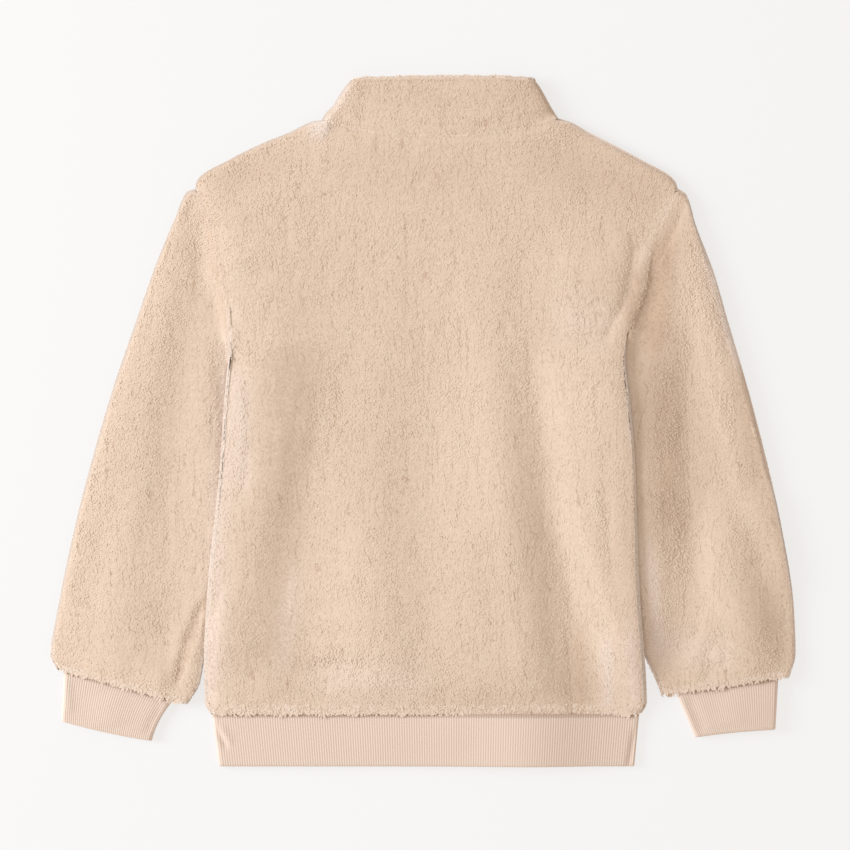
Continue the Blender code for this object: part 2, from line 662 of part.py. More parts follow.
for old in list(bpy.data.objects):
    bpy.data.objects.remove(old, do_unlink=True)
body_panel("back_panel", True, BACK_SHOULDER_COLUMNS, BACK_NECK_DROP)
body_panel("front_panel", False, FRONT_SHOULDER_COLUMNS, FRONT_NECK_DROP)
sleeve("sleeve_left", "left", LEFT_SLEEVE, LEFT_SLEEVE_FOLDS)
sleeve("sleeve_right", "right", RIGHT_SLEEVE, RIGHT_SLEEVE_FOLDS)
collar("collar")
rib_band("hem_band", HEM_BAND)
rib_band("cuff_left", LEFT_CUFF)
rib_band("cuff_right", RIGHT_CUFF)
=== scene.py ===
# %% [markdown]
# # A sherpa fleece pullover, laid flat with its back up
#
# The real garment is eight cut pieces sewn together: a back, a front, two sleeves and a stand collar of
# curly-piled fleece, and a hem band and two cuffs of rib knit. Sherpa is a thin knitted ground with a
# pile of short soft locks, so its outline is fuzzy, its seams sink into the pile, and a light from one
# side shows every shallow fold. The rib knit is thin and firm, with fine upright ribs.
#
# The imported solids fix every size. This file dresses them: it makes each cloth again as a thin, finely
# divided wall on its solid's form, grows locks of pile on it, and paints and lights the whole.
# Everything is in metres, +Z up, with the neck towards +Y.

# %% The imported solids
import json
import math
from collections import namedtuple

import bmesh
import bpy
import numpy as np
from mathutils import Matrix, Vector

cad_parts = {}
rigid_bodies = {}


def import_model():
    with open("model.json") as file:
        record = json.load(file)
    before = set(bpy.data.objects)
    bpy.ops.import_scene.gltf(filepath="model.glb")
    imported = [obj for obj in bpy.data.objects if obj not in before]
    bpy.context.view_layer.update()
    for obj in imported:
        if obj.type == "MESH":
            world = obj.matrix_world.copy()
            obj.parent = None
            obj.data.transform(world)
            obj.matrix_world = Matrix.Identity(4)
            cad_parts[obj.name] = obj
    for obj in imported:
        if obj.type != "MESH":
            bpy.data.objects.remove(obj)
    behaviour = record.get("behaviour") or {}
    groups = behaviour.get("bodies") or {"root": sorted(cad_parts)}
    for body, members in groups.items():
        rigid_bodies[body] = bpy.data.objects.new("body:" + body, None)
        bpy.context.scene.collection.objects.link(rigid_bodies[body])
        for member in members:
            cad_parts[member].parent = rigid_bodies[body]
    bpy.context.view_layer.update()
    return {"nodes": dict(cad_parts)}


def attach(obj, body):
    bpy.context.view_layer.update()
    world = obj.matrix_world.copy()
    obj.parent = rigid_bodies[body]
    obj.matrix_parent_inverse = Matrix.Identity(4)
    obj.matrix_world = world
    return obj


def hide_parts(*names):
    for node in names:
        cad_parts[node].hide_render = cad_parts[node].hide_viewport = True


for old in list(bpy.data.objects):
    bpy.data.objects.remove(old, do_unlink=True)
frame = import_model()
print("solids:", sorted(frame["nodes"]))

# %% [markdown]
# ## The camera
#
# A flat garment is looked at from straight above. A long lens keeps its edges from leaning outwards:
# from 2.4 m up, a point 25 mm above the floor moves by only one part in a hundred. The picture is
# square and 0.85 m wide on the cloth, and its middle is a little below the garment's own middle.

# %% Camera
LENS = 100.0  # mm
SENSOR = 36.0  # mm
PICTURE_WIDTH = 0.850
PICTURE_CENTRE = Vector((0.0020, -0.0035, 0.0100))

camera_data = bpy.data.cameras.new("camera")
camera_data.lens = LENS
camera_data.sensor_width = SENSOR
camera = bpy.data.objects.new("camera", camera_data)
camera.location = PICTURE_CENTRE + Vector((0.0, 0.0, PICTURE_WIDTH * LENS / SENSOR))
bpy.context.scene.collection.objects.link(camera)
bpy.context.scene.camera = camera
print("camera height", round(camera.location.z, 3))

# %% [markdown]
# ## The cut, as tables
#
# A flattened garment is easiest to describe the way a pattern cutter does: with a few measured points
# along each edge. Each table below has a row for each place that was measured, and everything between
# its rows is read from a smooth curve. The points are the solids' own, so the cloth lands on them. Only
# the sleeves' inner edges differ, by a few millimetres: they reach further under the body at the
# underarm, to close the gap there, and come out from under its side a little lower down.

# %% Body
BodyRow = namedtuple("BodyRow", "up left right thick lift")
BODY = (
    BodyRow(-0.2925, -0.2140, 0.2200, 0.0098, 0.00),
    BodyRow(-0.2815, -0.2195, 0.2250, 0.0106, 0.00),
    BodyRow(-0.2585, -0.2195, 0.2240, 0.0114, 0.30),
    BodyRow(-0.2185, -0.2185, 0.2202, 0.0118, 1.00),
    BodyRow(-0.1585, -0.2150, 0.2162, 0.0118, 1.00),
    BodyRow(-0.0985, -0.2086, 0.2140, 0.0118, 1.00),
    BodyRow(-0.0385, -0.2026, 0.2120, 0.0118, 1.00),
    BodyRow(0.0215, -0.1988, 0.2070, 0.0120, 0.93),
    BodyRow(0.0615, -0.1952, 0.2030, 0.0122, 0.58),
    BodyRow(0.0865, -0.1930, 0.2047, 0.0124, 0.00),
)
ArmholeRow = namedtuple("ArmholeRow", "up left right")
ARMHOLE = (
    ArmholeRow(0.0865, -0.1930, 0.2047),
    ArmholeRow(0.1065, -0.1935, 0.2140),
    ArmholeRow(0.1215, -0.1950, 0.2215),
    ArmholeRow(0.1395, -0.1985, 0.2255),
    ArmholeRow(0.1635, -0.2020, 0.2295),
    ArmholeRow(0.1895, -0.2073, 0.2355),
    ArmholeRow(0.2085, -0.2165, 0.2425),
    ArmholeRow(0.2245, -0.2240, 0.2500),
    ArmholeRow(0.2335, -0.2288, 0.2558),
)
ShoulderRow = namedtuple("ShoulderRow", "share left left_up right right_up")
SHOULDER = (
    ShoulderRow(0.00, -0.2288, 0.2335, 0.2558, 0.2335),
    ShoulderRow(0.05, -0.2268, 0.2420, 0.2525, 0.2420),
    ShoulderRow(0.26, -0.1960, 0.2615, 0.2210, 0.2615),
    ShoulderRow(0.50, -0.1670, 0.2765, 0.1930, 0.2765),
    ShoulderRow(0.77, -0.1320, 0.2910, 0.1640, 0.2915),
    ShoulderRow(0.90, -0.1150, 0.2990, 0.1480, 0.3005),
    ShoulderRow(1.00, -0.1010, 0.3015, 0.1360, 0.3040),
)
ChestRow = namedtuple("ChestRow", "up thick")
CHEST = (
    ChestRow(0.0865, 0.0124),
    ChestRow(0.1500, 0.0128),
    ChestRow(0.2300, 0.0134),
    ChestRow(0.2850, 0.0146),
    ChestRow(0.3100, 0.0146),
)
print("chest", round(BODY[-1].right - BODY[-1].left, 3), "m across")

# %% [markdown]
# A sleeve's row is a straight section across it, from its outer to its inner folded edge, at a share of
# the way from the armhole to the cuff. The collar's rows go up from the neck seam to its top edge. A
# ribbed band needs only two rows, the edge that is sewn on and the free edge, and a bow that curves them.

# %% Sleeves, collar and ribbed bands
SleeveRow = namedtuple("SleeveRow", "share out_x out_y in_x in_y thick")
LEFT_SLEEVE = (
    SleeveRow(0.00, -0.2288, 0.2335, -0.1930, 0.0865, 0.0130),
    SleeveRow(0.02, -0.2360, 0.2310, -0.1911, 0.0800, 0.0128),
    SleeveRow(0.10, -0.2500, 0.2010, -0.1918, 0.0590, 0.0120),
    SleeveRow(0.20, -0.2685, 0.1565, -0.1928, 0.0235, 0.0115),
    SleeveRow(0.30, -0.2850, 0.1095, -0.1925, -0.0125, 0.0115),
    SleeveRow(0.45, -0.3085, 0.0415, -0.1935, -0.0645, 0.0115),
    SleeveRow(0.60, -0.3300, -0.0305, -0.2015, -0.1215, 0.0115),
    SleeveRow(0.75, -0.3490, -0.1035, -0.2130, -0.1755, 0.0115),
    SleeveRow(0.90, -0.3670, -0.1905, -0.2166, -0.2235, 0.0114),
    SleeveRow(0.97, -0.3740, -0.2335, -0.2230, -0.2625, 0.0110),
    SleeveRow(1.00, -0.3680, -0.2465, -0.2350, -0.2825, 0.0104),
)
RIGHT_SLEEVE = (
    SleeveRow(0.00, 0.2558, 0.2335, 0.2047, 0.0865, 0.0130),
    SleeveRow(0.02, 0.2635, 0.2290, 0.2016, 0.0790, 0.0128),
    SleeveRow(0.10, 0.2740, 0.1965, 0.1990, 0.0555, 0.0120),
    SleeveRow(0.20, 0.2920, 0.1495, 0.1994, 0.0195, 0.0115),
    SleeveRow(0.30, 0.3060, 0.1015, 0.2015, -0.0155, 0.0115),
    SleeveRow(0.45, 0.3260, 0.0335, 0.2035, -0.0665, 0.0115),
    SleeveRow(0.60, 0.3440, -0.0355, 0.2075, -0.1195, 0.0115),
    SleeveRow(0.75, 0.3600, -0.1065, 0.2130, -0.1705, 0.0115),
    SleeveRow(0.90, 0.3725, -0.1905, 0.2190, -0.2275, 0.0114),
    SleeveRow(0.97, 0.3740, -0.2335, 0.2315, -0.2570, 0.0110),
    SleeveRow(1.00, 0.3680, -0.2535, 0.2380, -0.2735, 0.0104),
)
CollarRow = namedtuple("CollarRow", "share left_x left_y right_x right_y thick")
COLLAR = (
    CollarRow(0.00, -0.1010, 0.3015, 0.1360, 0.3040, 0.0146),
    CollarRow(0.30, -0.0915, 0.3150, 0.1285, 0.3155, 0.0165),
    CollarRow(0.75, -0.0800, 0.3335, 0.1185, 0.3335, 0.0168),
    CollarRow(1.00, -0.0720, 0.3430, 0.1115, 0.3435, 0.0160),
)
BandRow = namedtuple("BandRow", "left_x left_y right_x right_y bow")
HEM_BAND = (
    BandRow(-0.2110, -0.2928, 0.2165, -0.2928, 0.0000),
    BandRow(-0.2045, -0.3455, 0.2115, -0.3455, 0.0000),
)
LEFT_CUFF = (
    BandRow(-0.3595, -0.2491, -0.2500, -0.2787, 0.0000),
    BandRow(-0.3620, -0.3005, -0.2720, -0.3200, -0.0016),
)
RIGHT_CUFF = (
    BandRow(0.2540, -0.2716, 0.3560, -0.2557, 0.0000),
    BandRow(0.2730, -0.3165, 0.3530, -0.3085, 0.0010),
)
print("sleeve rows", len(LEFT_SLEEVE), "collar rows", len(COLLAR))

# %% [markdown]
# ## Folds and creases
#
# Cloth that lies on a table keeps a memory of how it hung. On thick fleece that shows as wide, shallow
# rolls running down the body, a soft band along each armhole where the seam allowance lies under the
# pile, and one or two short creases above a cuff. Each row is one of them, from its top to its low
# point, as wide and as high as it really is. A negative height is a trough. They are listed one by one,
# and no two are alike, because an even row of folds looks like a curtain.

# %% Fold tables
Fold = namedtuple("Fold", "name top_x top_y low_x low_y width height")
BODY_FOLDS = (
    Fold("left chest", -0.165, 0.221, -0.216, 0.072, 0.058, 0.0040),
    Fold("left side roll", -0.147, 0.102, -0.157, -0.280, 0.024, 0.0050),
    Fold("left drape", -0.074, -0.028, -0.021, -0.269, 0.044, 0.0051),
    Fold("middle valley", 0.007, 0.162, -0.005, -0.252, 0.024, -0.0017),
    Fold("middle roll", 0.066, 0.082, 0.125, -0.323, 0.018, 0.0033),
    Fold("middle swell", 0.059, -0.008, 0.083, -0.268, 0.036, 0.0040),
    Fold("low swell", -0.010, -0.118, 0.037, -0.311, 0.062, 0.0030),
    Fold("right chest", 0.184, 0.194, 0.179, -0.018, 0.033, 0.0040),
    Fold("right side roll", 0.107, 0.082, 0.225, -0.222, 0.020, 0.0030),
    Fold("right low roll", 0.132, -0.049, 0.218, -0.281, 0.012, 0.0034),
)
LEFT_SLEEVE_FOLDS = (
    Fold("outer roll", -0.235, 0.226, -0.315, -0.208, 0.022, 0.0037),
    Fold("edge roll", -0.286, 0.094, -0.364, -0.213, 0.017, 0.0027),
    Fold("cuff puff", -0.317, -0.183, -0.320, -0.283, 0.041, 0.0040),
)
RIGHT_SLEEVE_FOLDS = (
    Fold("outer roll", 0.280, 0.166, 0.323, -0.014, 0.016, 0.0060),
    Fold("bright roll", 0.306, -0.106, 0.326, -0.275, 0.020, 0.0060),
    Fold("elbow", 0.320, -0.023, 0.361, -0.163, 0.016, 0.0040),
    Fold("cuff puff", 0.334, -0.192, 0.339, -0.253, 0.015, 0.0017),
)
BODY_CREASES = (
    Fold("narrow valley", 0.102, 0.118, 0.173, -0.318, 0.012, -0.0024),
    Fold("left low valley", -0.140, -0.089, -0.163, -0.259, 0.015, -0.0020),
    Fold("neck to shoulder", -0.060, 0.262, -0.150, 0.225, 0.020, 0.0006),
    Fold("under the collar", 0.080, 0.262, 0.170, 0.232, 0.020, 0.0008),
    Fold("short crease", 0.181, -0.060, 0.186, -0.130, 0.0045, -0.0009),
    Fold("left ease", -0.102, 0.092, -0.127, -0.029, 0.017, 0.0019),
    Fold("left low ease", -0.116, -0.164, -0.097, -0.235, 0.026, 0.0017),
    Fold("left side", -0.181, 0.059, -0.211, -0.183, 0.027, -0.0027),
    Fold("valley by the armhole", 0.240, 0.247, 0.214, 0.097, 0.011, -0.0025),
    Fold("shoulder slope", 0.167, 0.306, 0.207, 0.179, 0.052, -0.0027),
    Fold("right chest line", 0.142, 0.183, 0.150, 0.046, 0.011, 0.0008),
    Fold("right low ease", 0.192, -0.122, 0.171, -0.313, 0.025, -0.0027),
    Fold("low left drape", -0.058, -0.093, -0.043, -0.252, 0.034, 0.0024),
    Fold("low middle", 0.037, -0.071, 0.047, -0.273, 0.034, 0.0020),
    Fold("right side ease", 0.186, 0.071, 0.199, -0.094, 0.019, -0.0014),
    Fold("bulge by the collar", -0.112, 0.302, -0.096, 0.292, 0.009, 0.0016),
    Fold("low left swell", -0.084, -0.190, -0.082, -0.239, 0.030, 0.0014),
    Fold("right low slope", 0.166, -0.223, 0.181, -0.333, 0.013, -0.0023),
    Fold("left trough", -0.172, 0.061, -0.191, -0.063, 0.027, -0.0018),
    Fold("slope to the shoulder", 0.186, 0.309, 0.257, 0.177, 0.035, -0.0016),
    Fold("low right swell", 0.087, -0.106, 0.097, -0.263, 0.030, 0.0018),
    Fold("left chest roll", -0.218, 0.230, -0.171, 0.158, 0.015, 0.0014),
)
LEFT_SLEEVE_CREASES = (
    Fold("seam band", -0.214, 0.205, -0.199, 0.115, 0.0036, 0.0008),
    Fold("slack by the seam", -0.226, 0.226, -0.188, 0.075, 0.012, -0.0026),
    Fold("inner low", -0.209, -0.172, -0.268, -0.278, 0.011, 0.0020),
    Fold("puff above the cuff", -0.307, -0.251, -0.259, -0.251, 0.014, 0.0022),
    Fold("outer low", -0.349, -0.258, -0.390, -0.221, 0.015, -0.0020),
    Fold("beside the body", -0.199, 0.062, -0.191, -0.070, 0.0085, -0.0026),
    Fold("outer gather", -0.331, -0.251, -0.287, -0.214, 0.016, 0.0013),
    Fold("inner swell", -0.242, -0.139, -0.298, -0.199, 0.019, 0.0010),
    Fold("middle slack", -0.256, 0.047, -0.333, -0.145, 0.023, -0.0013),
    Fold("long valley", -0.219, 0.201, -0.266, -0.103, 0.013, -0.0017),
    Fold("inner roll", -0.225, 0.090, -0.213, -0.120, 0.014, 0.0014),
    Fold("low valley", -0.222, -0.004, -0.254, -0.263, 0.015, -0.0010),
    Fold("crease above the cuff", -0.220, -0.180, -0.236, -0.222, 0.0040, -0.0024),
    Fold("its lower half", -0.236, -0.222, -0.246, -0.262, 0.0036, -0.0022),
    Fold("lip of the crease", -0.228, -0.226, -0.238, -0.262, 0.0060, 0.0012),
    Fold("gather", -0.300, -0.212, -0.292, -0.258, 0.0060, -0.0009),
)
RIGHT_SLEEVE_CREASES = (
    Fold("dark slope", 0.326, -0.080, 0.372, -0.240, 0.014, -0.0026),
    Fold("beside the body", 0.268, 0.077, 0.274, -0.175, 0.011, -0.0024),
    Fold("low swell", 0.271, -0.220, 0.292, -0.240, 0.010, 0.0010),
    Fold("gather", 0.288, -0.222, 0.282, -0.262, 0.0050, -0.0010),
    Fold("rise beside the body", 0.214, 0.085, 0.226, -0.215, 0.019, 0.0050),
    Fold("shaded side", 0.270, 0.100, 0.282, -0.150, 0.0175, -0.0010),
    Fold("outer slack", 0.281, 0.189, 0.342, -0.063, 0.011, -0.0027),
    Fold("outer edge", 0.294, 0.135, 0.322, -0.075, 0.018, -0.0040),
    Fold("inner end", 0.237, -0.212, 0.249, -0.310, 0.018, -0.0036),
    Fold("low middle", 0.301, -0.184, 0.342, -0.241, 0.017, 0.0013),
    Fold("puff above the cuff", 0.322, -0.182, 0.342, -0.289, 0.0185, 0.0027),
    Fold("low bright roll", 0.282, -0.094, 0.284, -0.215, 0.014, 0.0016),
    Fold("slack at the top", 0.247, 0.147, 0.292, 0.144, 0.019, -0.0014),
)
print(len(BODY_FOLDS) + len(BODY_CREASES), "folds and creases on the body")

# %% [markdown]
# The pile's colour also carries painted light and shade. Each row below is one stroke of it, in the same
# form as a fold, with how much painted highlight (above zero: paler) or painted shade (below zero: darker
# and warmer) it puts on the pile instead of a height.

# %% Painted light and shade table
PAINTED_LIGHT_AND_SHADE = (
    Fold("body's left edge", -0.193, 0.090, -0.212, -0.290, 0.0080, 0.42),
    Fold("its upper end", -0.180, 0.045, -0.180, -0.068, 0.0060, 0.50),
    Fold("above the hem", -0.110, -0.250, 0.000, -0.262, 0.0150, 0.30),
    Fold("low right light", 0.182, -0.215, 0.186, -0.290, 0.0060, 0.55),
    Fold("collar's left edge", -0.075, 0.338, -0.092, 0.312, 0.0060, 0.55),
    Fold("low left drape", -0.128, -0.150, -0.142, -0.250, 0.0070, 0.40),
    Fold("right sleeve's end", 0.232, -0.222, 0.310, -0.236, 0.0130, 0.35),
    Fold("bulge by the collar", -0.112, 0.298, -0.094, 0.290, 0.0090, 0.90),
    Fold("right chest", 0.130, 0.110, 0.190, 0.095, 0.0180, 0.25),
    Fold("right sleeve's outer edge", 0.278, 0.190, 0.318, 0.060, 0.0080, 0.40),
    Fold("right elbow", 0.318, 0.050, 0.335, -0.080, 0.0080, -0.40),
    Fold("beside the right edge", 0.205, 0.060, 0.208, -0.020, 0.0050, 0.40),
    Fold("right armhole", 0.247, 0.195, 0.228, 0.075, 0.0095, -1.00),
    Fold("roll beside it", 0.246, 0.225, 0.218, 0.150, 0.0045, 0.45),
    Fold("valley beside the roll", 0.218, 0.155, 0.205, 0.100, 0.0042, -0.80),
    Fold("collar", -0.070, 0.325, 0.100, 0.325, 0.0130, -0.25),
    Fold("collar's right end", 0.104, 0.336, 0.126, 0.306, 0.0100, -0.40),
    Fold("below the collar", -0.110, 0.258, 0.060, 0.240, 0.0200, -0.22),
    Fold("body's right edge", 0.206, -0.205, 0.214, -0.285, 0.0060, 0.50),
    Fold("right sleeve's inner end", 0.224, -0.110, 0.236, -0.240, 0.0060, 0.60),
    Fold("line of the seam", 0.2345, 0.1865, 0.2250, 0.1350, 0.0016, -1.00),
    Fold("its low end", 0.2225, 0.1300, 0.2045, 0.0830, 0.0016, -1.00),
    Fold("right sleeve beside the body", 0.236, 0.090, 0.246, -0.120, 0.0170, -0.60),
    Fold("right low slope", 0.155, -0.205, 0.160, -0.300, 0.0070, -0.70),
    Fold("left sleeve's inner end", -0.220, -0.180, -0.247, -0.260, 0.0050, -0.45),
    Fold("left cuff puff", -0.300, -0.230, -0.262, -0.240, 0.0110, -0.25),
    Fold("left armhole", -0.210, 0.170, -0.200, 0.090, 0.0040, -0.40),
    Fold("right shoulder", 0.110, 0.265, 0.245, 0.225, 0.0180, -0.40),
    Fold("left shoulder", -0.215, 0.240, -0.130, 0.262, 0.0130, -0.35),
)
# Each stroke paints a highlight or a shade onto the pile's colour.
print(len(PAINTED_LIGHT_AND_SHADE), "strokes of the nap")

# %% [markdown]
# ## Reading a table smoothly
#
# Straight lines between measured points would show as facets, and an ordinary spline swings past its
# points, which would push an edge out of true. A monotone cubic does neither: it leaves each point at
# a slope that never overshoots its neighbours.

# %% Smooth reading
def column(rows, name):
    """One column of a table."""
    return np.array([getattr(row, name) for row in rows])


def along(rows, key, name, at):
    """A table's column at any place, read from a curve through its rows."""
    x, y = column(rows, key), column(rows, name)
    step = np.diff(x)
    slope = np.diff(y) / step
    turn = np.concatenate([slope[:1], np.zeros(len(x) - 2), slope[-1:]])
    for k in range(1, len(x) - 1):
        if slope[k - 1] * slope[k] > 0:
            turn[k] = 2 * slope[k - 1] * slope[k] / (slope[k - 1] + slope[k])
    at = np.clip(at, x[0], x[-1])
    k = np.clip(np.searchsorted(x, at) - 1, 0, len(step) - 1)
    t = (at - x[k]) / step[k]
    start = (1 + 2 * t) * (1 - t) ** 2 * y[k] + t * (1 - t) ** 2 * step[k] * turn[k]
    return start + t * t * (3 - 2 * t) * y[k + 1] + t * t * (t - 1) * step[k] * turn[k + 1]


def section(rows, share):
    """A table's row at any share of the way along."""
    names = rows[0]._fields
    return type(rows[0])(*[float(along(rows, "share", name, share)) for name in names])


def smooth(t):
    """An even rise from 0 to 1 that starts and ends level."""
    t = np.clip(t, 0.0, 1.0)
    return t * t * (3 - 2 * t)


def unit(vectors):
    """The same directions, each one unit long."""
    return vectors / np.maximum(np.linalg.norm(vectors, axis=-1, keepdims=True), 1e-12)


print("half way up the body its left edge is at", round(float(along(BODY, "up", "left", -0.1)), 4))

# %% [markdown]
# ## How high the cloth lies
#
# Two walls of fleece lie on each other with a little air between them. The body's side edges also ride
# over the sleeves, which are tucked a few millimetres under them, so there the whole body is lifted.
# Ridges are added to the upper wall only, and the lower wall stays flat on the floor.

# %% Heights
FLEECE_WALL = 0.0050
COLLAR_WALL = 0.0080
RIB_WALL = 0.0030
SEAM_GAP = 0.00004  # the solids keep 0.3 mm, but sewn cloth meets
MOST_HOLLOW = 0.0039  # the air between two walls, at a ridge
LEAST_HOLLOW = 0.0005
TUCK_LIFT = 0.0122  # how far the body's sides rise over the sleeves
TUCK_FLAT, TUCK_SLOPE = 0.0080, 0.0890  # from the edge inwards: level first, then sloping down
HEM_FLATTENED = 0.0300  # the band holds the cloth flat as far as this above the hem seam
FOLD_TOP_FADE, FOLD_LOW_FADE = 0.25, 0.15  # shares of a fold's length


def folds(table, x, y):
    """How much a table's ridges and troughs add to the height at x, y."""
    total = np.zeros(np.broadcast(x, y).shape)
    for fold in table:
        run = np.array([fold.low_x - fold.top_x, fold.low_y - fold.top_y])
        length = math.hypot(*run)
        run = run / length
        share = ((x - fold.top_x) * run[0] + (y - fold.top_y) * run[1]) / length
        aside = (x - fold.top_x) * run[1] - (y - fold.top_y) * run[0]
        top = smooth((share + FOLD_TOP_FADE) / (2 * FOLD_TOP_FADE))
        low = smooth((1 + FOLD_LOW_FADE - share) / (2 * FOLD_LOW_FADE))
        total += fold.height * top * low * np.exp(-0.5 * (aside / fold.width) ** 2)
    return total


def heights(lift, base, ridge, wall):
    """Levels of a flattened tube: its middle, its top, the top's inside and the wall's thickness."""
    wall = np.minimum(wall, base / 2 - LEAST_HOLLOW / 2)
    top = lift + base + ridge
    return lift + base / 2, top, np.minimum(top - wall, lift + wall + MOST_HOLLOW), wall


def body_heights(x, y):
    """How far the body is lifted at x, y, and its levels there."""
    aside = np.minimum(x - along(BODY, "up", "left", y), along(BODY, "up", "right", y) - x)
    lifted = np.where(y < BODY[-1].up, along(BODY, "up", "lift", y), 0.0)
    lift = TUCK_LIFT * lifted * (1 - smooth((aside - TUCK_FLAT) / TUCK_SLOPE))
    low = along(BODY, "up", "thick", y)
    base = np.where(y < BODY[-1].up, low, along(CHEST, "up", "thick", y))
    ridge = folds(BODY_FOLDS, x, y) * smooth((y - BODY[0].up) / HEM_FLATTENED)
    return (lift, *heights(lift, base, ridge, FLEECE_WALL))


print("the body's side edge lies", round(float(body_heights(-0.2185, -0.2)[0]) * 1000, 1), "mm up")

# %% [markdown]
# ## Rolled edges
#
# Where a flattened tube folds over at its side, the cloth makes a half round roll. Going across such a
# tube, each place is given by how far across it is, how far the cloth has risen towards its full
# height there, and how much of the wall's thickness lies sideways.

# %% Places across a flattened tube
ROLL, COLLAR_ROLL, RIB_ROLL = 0.0060, 0.0088, 0.0035
ROLL_STEPS = 5
ROLL_ANGLES = np.linspace(0.0, math.pi / 2, ROLL_STEPS + 1)


def spread(total, middle, roll_start, roll_end):
    """Distances from the first folded edge, as seen from above."""
    start = roll_start * (1 - np.cos(ROLL_ANGLES))
    end = total - roll_end * (1 - np.cos(ROLL_ANGLES[::-1]))
    return np.concatenate([start, np.linspace(start[-1], end[0], middle + 1)[1:-1], end])


def rise(middle):
    """How far the cloth has risen to its full height at each place across a tube."""
    up = np.sin(ROLL_ANGLES)
    return np.concatenate([up, np.ones(middle - 1), up[::-1]])


def lean(middle):
    """For the first edge. Turned round, it is the second edge's."""
    return np.concatenate([np.cos(ROLL_ANGLES), np.zeros(middle + ROLL_STEPS)])


def course(points):
    """Which way a line of points runs at each of them, and the way to its left hand."""
    run = unit(np.gradient(points, axis=0))
    return run, np.stack([-run[:, 1], run[:, 0]], axis=-1)


print("a roll is divided at", np.round(np.degrees(ROLL_ANGLES)).astype(int), "degrees")

# %% [markdown]
# ## Seams that two pieces share
#
# Sewn pieces have to agree on their seam, so each seam is worked out once, as a line seen from above,
# and both pieces start from it and stand back by half the gap.

# %% Seam lines
BACK_NECK_DROP, FRONT_NECK_DROP = 0.0180, 0.0480
COLLAR_TOP_BACK_RISE, COLLAR_TOP_FRONT_DROP = 0.00225, 0.0220
NECK_SQUARENESS = 2.6
SHOULDER_LENGTH = 0.150
LEAST_SLANT, SLANT_STEP = 0.50, 0.02
LINE_STEPS = 400  # of an armhole's curve, before it is divided anew
SEAM_LINE_COUNT = 60


def slant(rows, share):
    """How far a roll is stretched where a sleeve's section crosses its inner folded edge at a slant."""
    here = section(rows, share)
    before = section(rows, share - SLANT_STEP)
    after = section(rows, share + SLANT_STEP)
    run = unit(np.array([after.in_x - before.in_x, after.in_y - before.in_y]))
    across = unit(np.array([here.out_x - here.in_x, here.out_y - here.in_y]))
    return 1 / max(abs(run[0] * across[1] - run[1] * across[0]), LEAST_SLANT)


def armhole(side, sleeve, middle):
    """Points of an armhole seam, from the underarm to the shoulder."""
    up = np.linspace(ARMHOLE[0].up, ARMHOLE[-1].up, LINE_STEPS)
    line = np.stack([along(ARMHOLE, "up", side, up), up], axis=-1)
    walked = np.concatenate([[0.0], np.cumsum(np.linalg.norm(np.diff(line, axis=0), axis=1))])
    at = spread(walked[-1], middle, ROLL * slant(sleeve, 0.0), ROLL)
    return np.stack([np.interp(at, walked, line[:, 0]), np.interp(at, walked, up)], axis=-1)


def neck(row, drop, roll, middle):
    """Points across a ring of the collar, from its left to its right folded edge."""
    left, right = np.array([row.left_x, row.left_y]), np.array([row.right_x, row.right_y])
    width = np.linalg.norm(right - left)
    share = spread(width, middle, roll, roll) / width
    points = left + share[:, None] * (right - left)
    points[:, 1] -= drop * (1 - np.abs(2 * share - 1) ** NECK_SQUARENESS)
    return points


def shoulder(side, columns):
    """Points along a shoulder edge, from the armhole to the neck."""
    rolled = ROLL * (1 - np.cos(ROLL_ANGLES)) / SHOULDER_LENGTH
    share = np.concatenate([rolled, np.linspace(rolled[-1], 1.0, columns + 1)[1:]])
    ends = along(SHOULDER, "share", side, share), along(SHOULDER, "share", side + "_up", share)
    return np.stack(ends, axis=-1)


LEFT_ARMHOLE = armhole("left", LEFT_SLEEVE, SEAM_LINE_COUNT)
RIGHT_ARMHOLE = armhole("right", RIGHT_SLEEVE, SEAM_LINE_COUNT)
BACK_NECK = neck(COLLAR[0], BACK_NECK_DROP, ROLL, SEAM_LINE_COUNT)
seam_length = np.linalg.norm(np.diff(LEFT_ARMHOLE, axis=0), axis=1).sum()
print("left armhole seam", round(float(seam_length), 3), "m on this side")

# %% [markdown]
# ## Soft unevenness
#
# Fleece is never smooth: its pile mats into clumps a few millimetres across, with partings that follow
# the knitted columns below. One small noise function serves for all of that. It blends random values
# on a lattice, can be stretched along the garment, and gives the same values on every run.

# %% Lattice noise and seam grooves
LATTICE = 256
LATTICE_MIDDLE = 100.0  # keeps the whole garment on one side of the lattice's start
Swell = namedtuple("Swell", "amount size seed stretch")
FINE_CLUMPS = Swell(0.00010, 0.0065, 1, 1.0)
CLUMPS = Swell(0.00016, 0.0140, 2, 1.6)
PARTINGS = Swell(0.00070, 0.0075, 3, 4.0)
PARTING_FROM = 0.45  # only the noise's high places part the pile
WAVES = Swell(0.00040, 0.0450, 4, 1.8)


def noise(x, y, size, seed, stretch=1.0):
    """Smooth values from -1 to 1, about one swell for each size of cloth."""
    values = np.random.default_rng(seed).uniform(-1.0, 1.0, (LATTICE, LATTICE))
    u = np.asarray(x) / size + LATTICE_MIDDLE
    v = np.asarray(y) / (size * stretch) + LATTICE_MIDDLE
    i, j = np.floor(u).astype(int), np.floor(v).astype(int)
    s, t = smooth(u - i), smooth(v - j)
    i0, i1, j0, j1 = i % LATTICE, (i + 1) % LATTICE, j % LATTICE, (j + 1) % LATTICE
    low = values[i0, j0] * (1 - s) + values[i1, j0] * s
    high = values[i0, j1] * (1 - s) + values[i1, j1] * s
    return low * (1 - t) + high * t


def swells(swell, x, y):
    """The noise that one row describes."""
    return swell.amount * noise(x, y, swell.size, swell.seed, swell.stretch)


def away_from(line, x, y):
    """Each place's distance from a line of points."""
    places = np.stack([x, y], axis=-1)[..., None, :]
    return np.sqrt(((places - line) ** 2).sum(-1).min(-1))


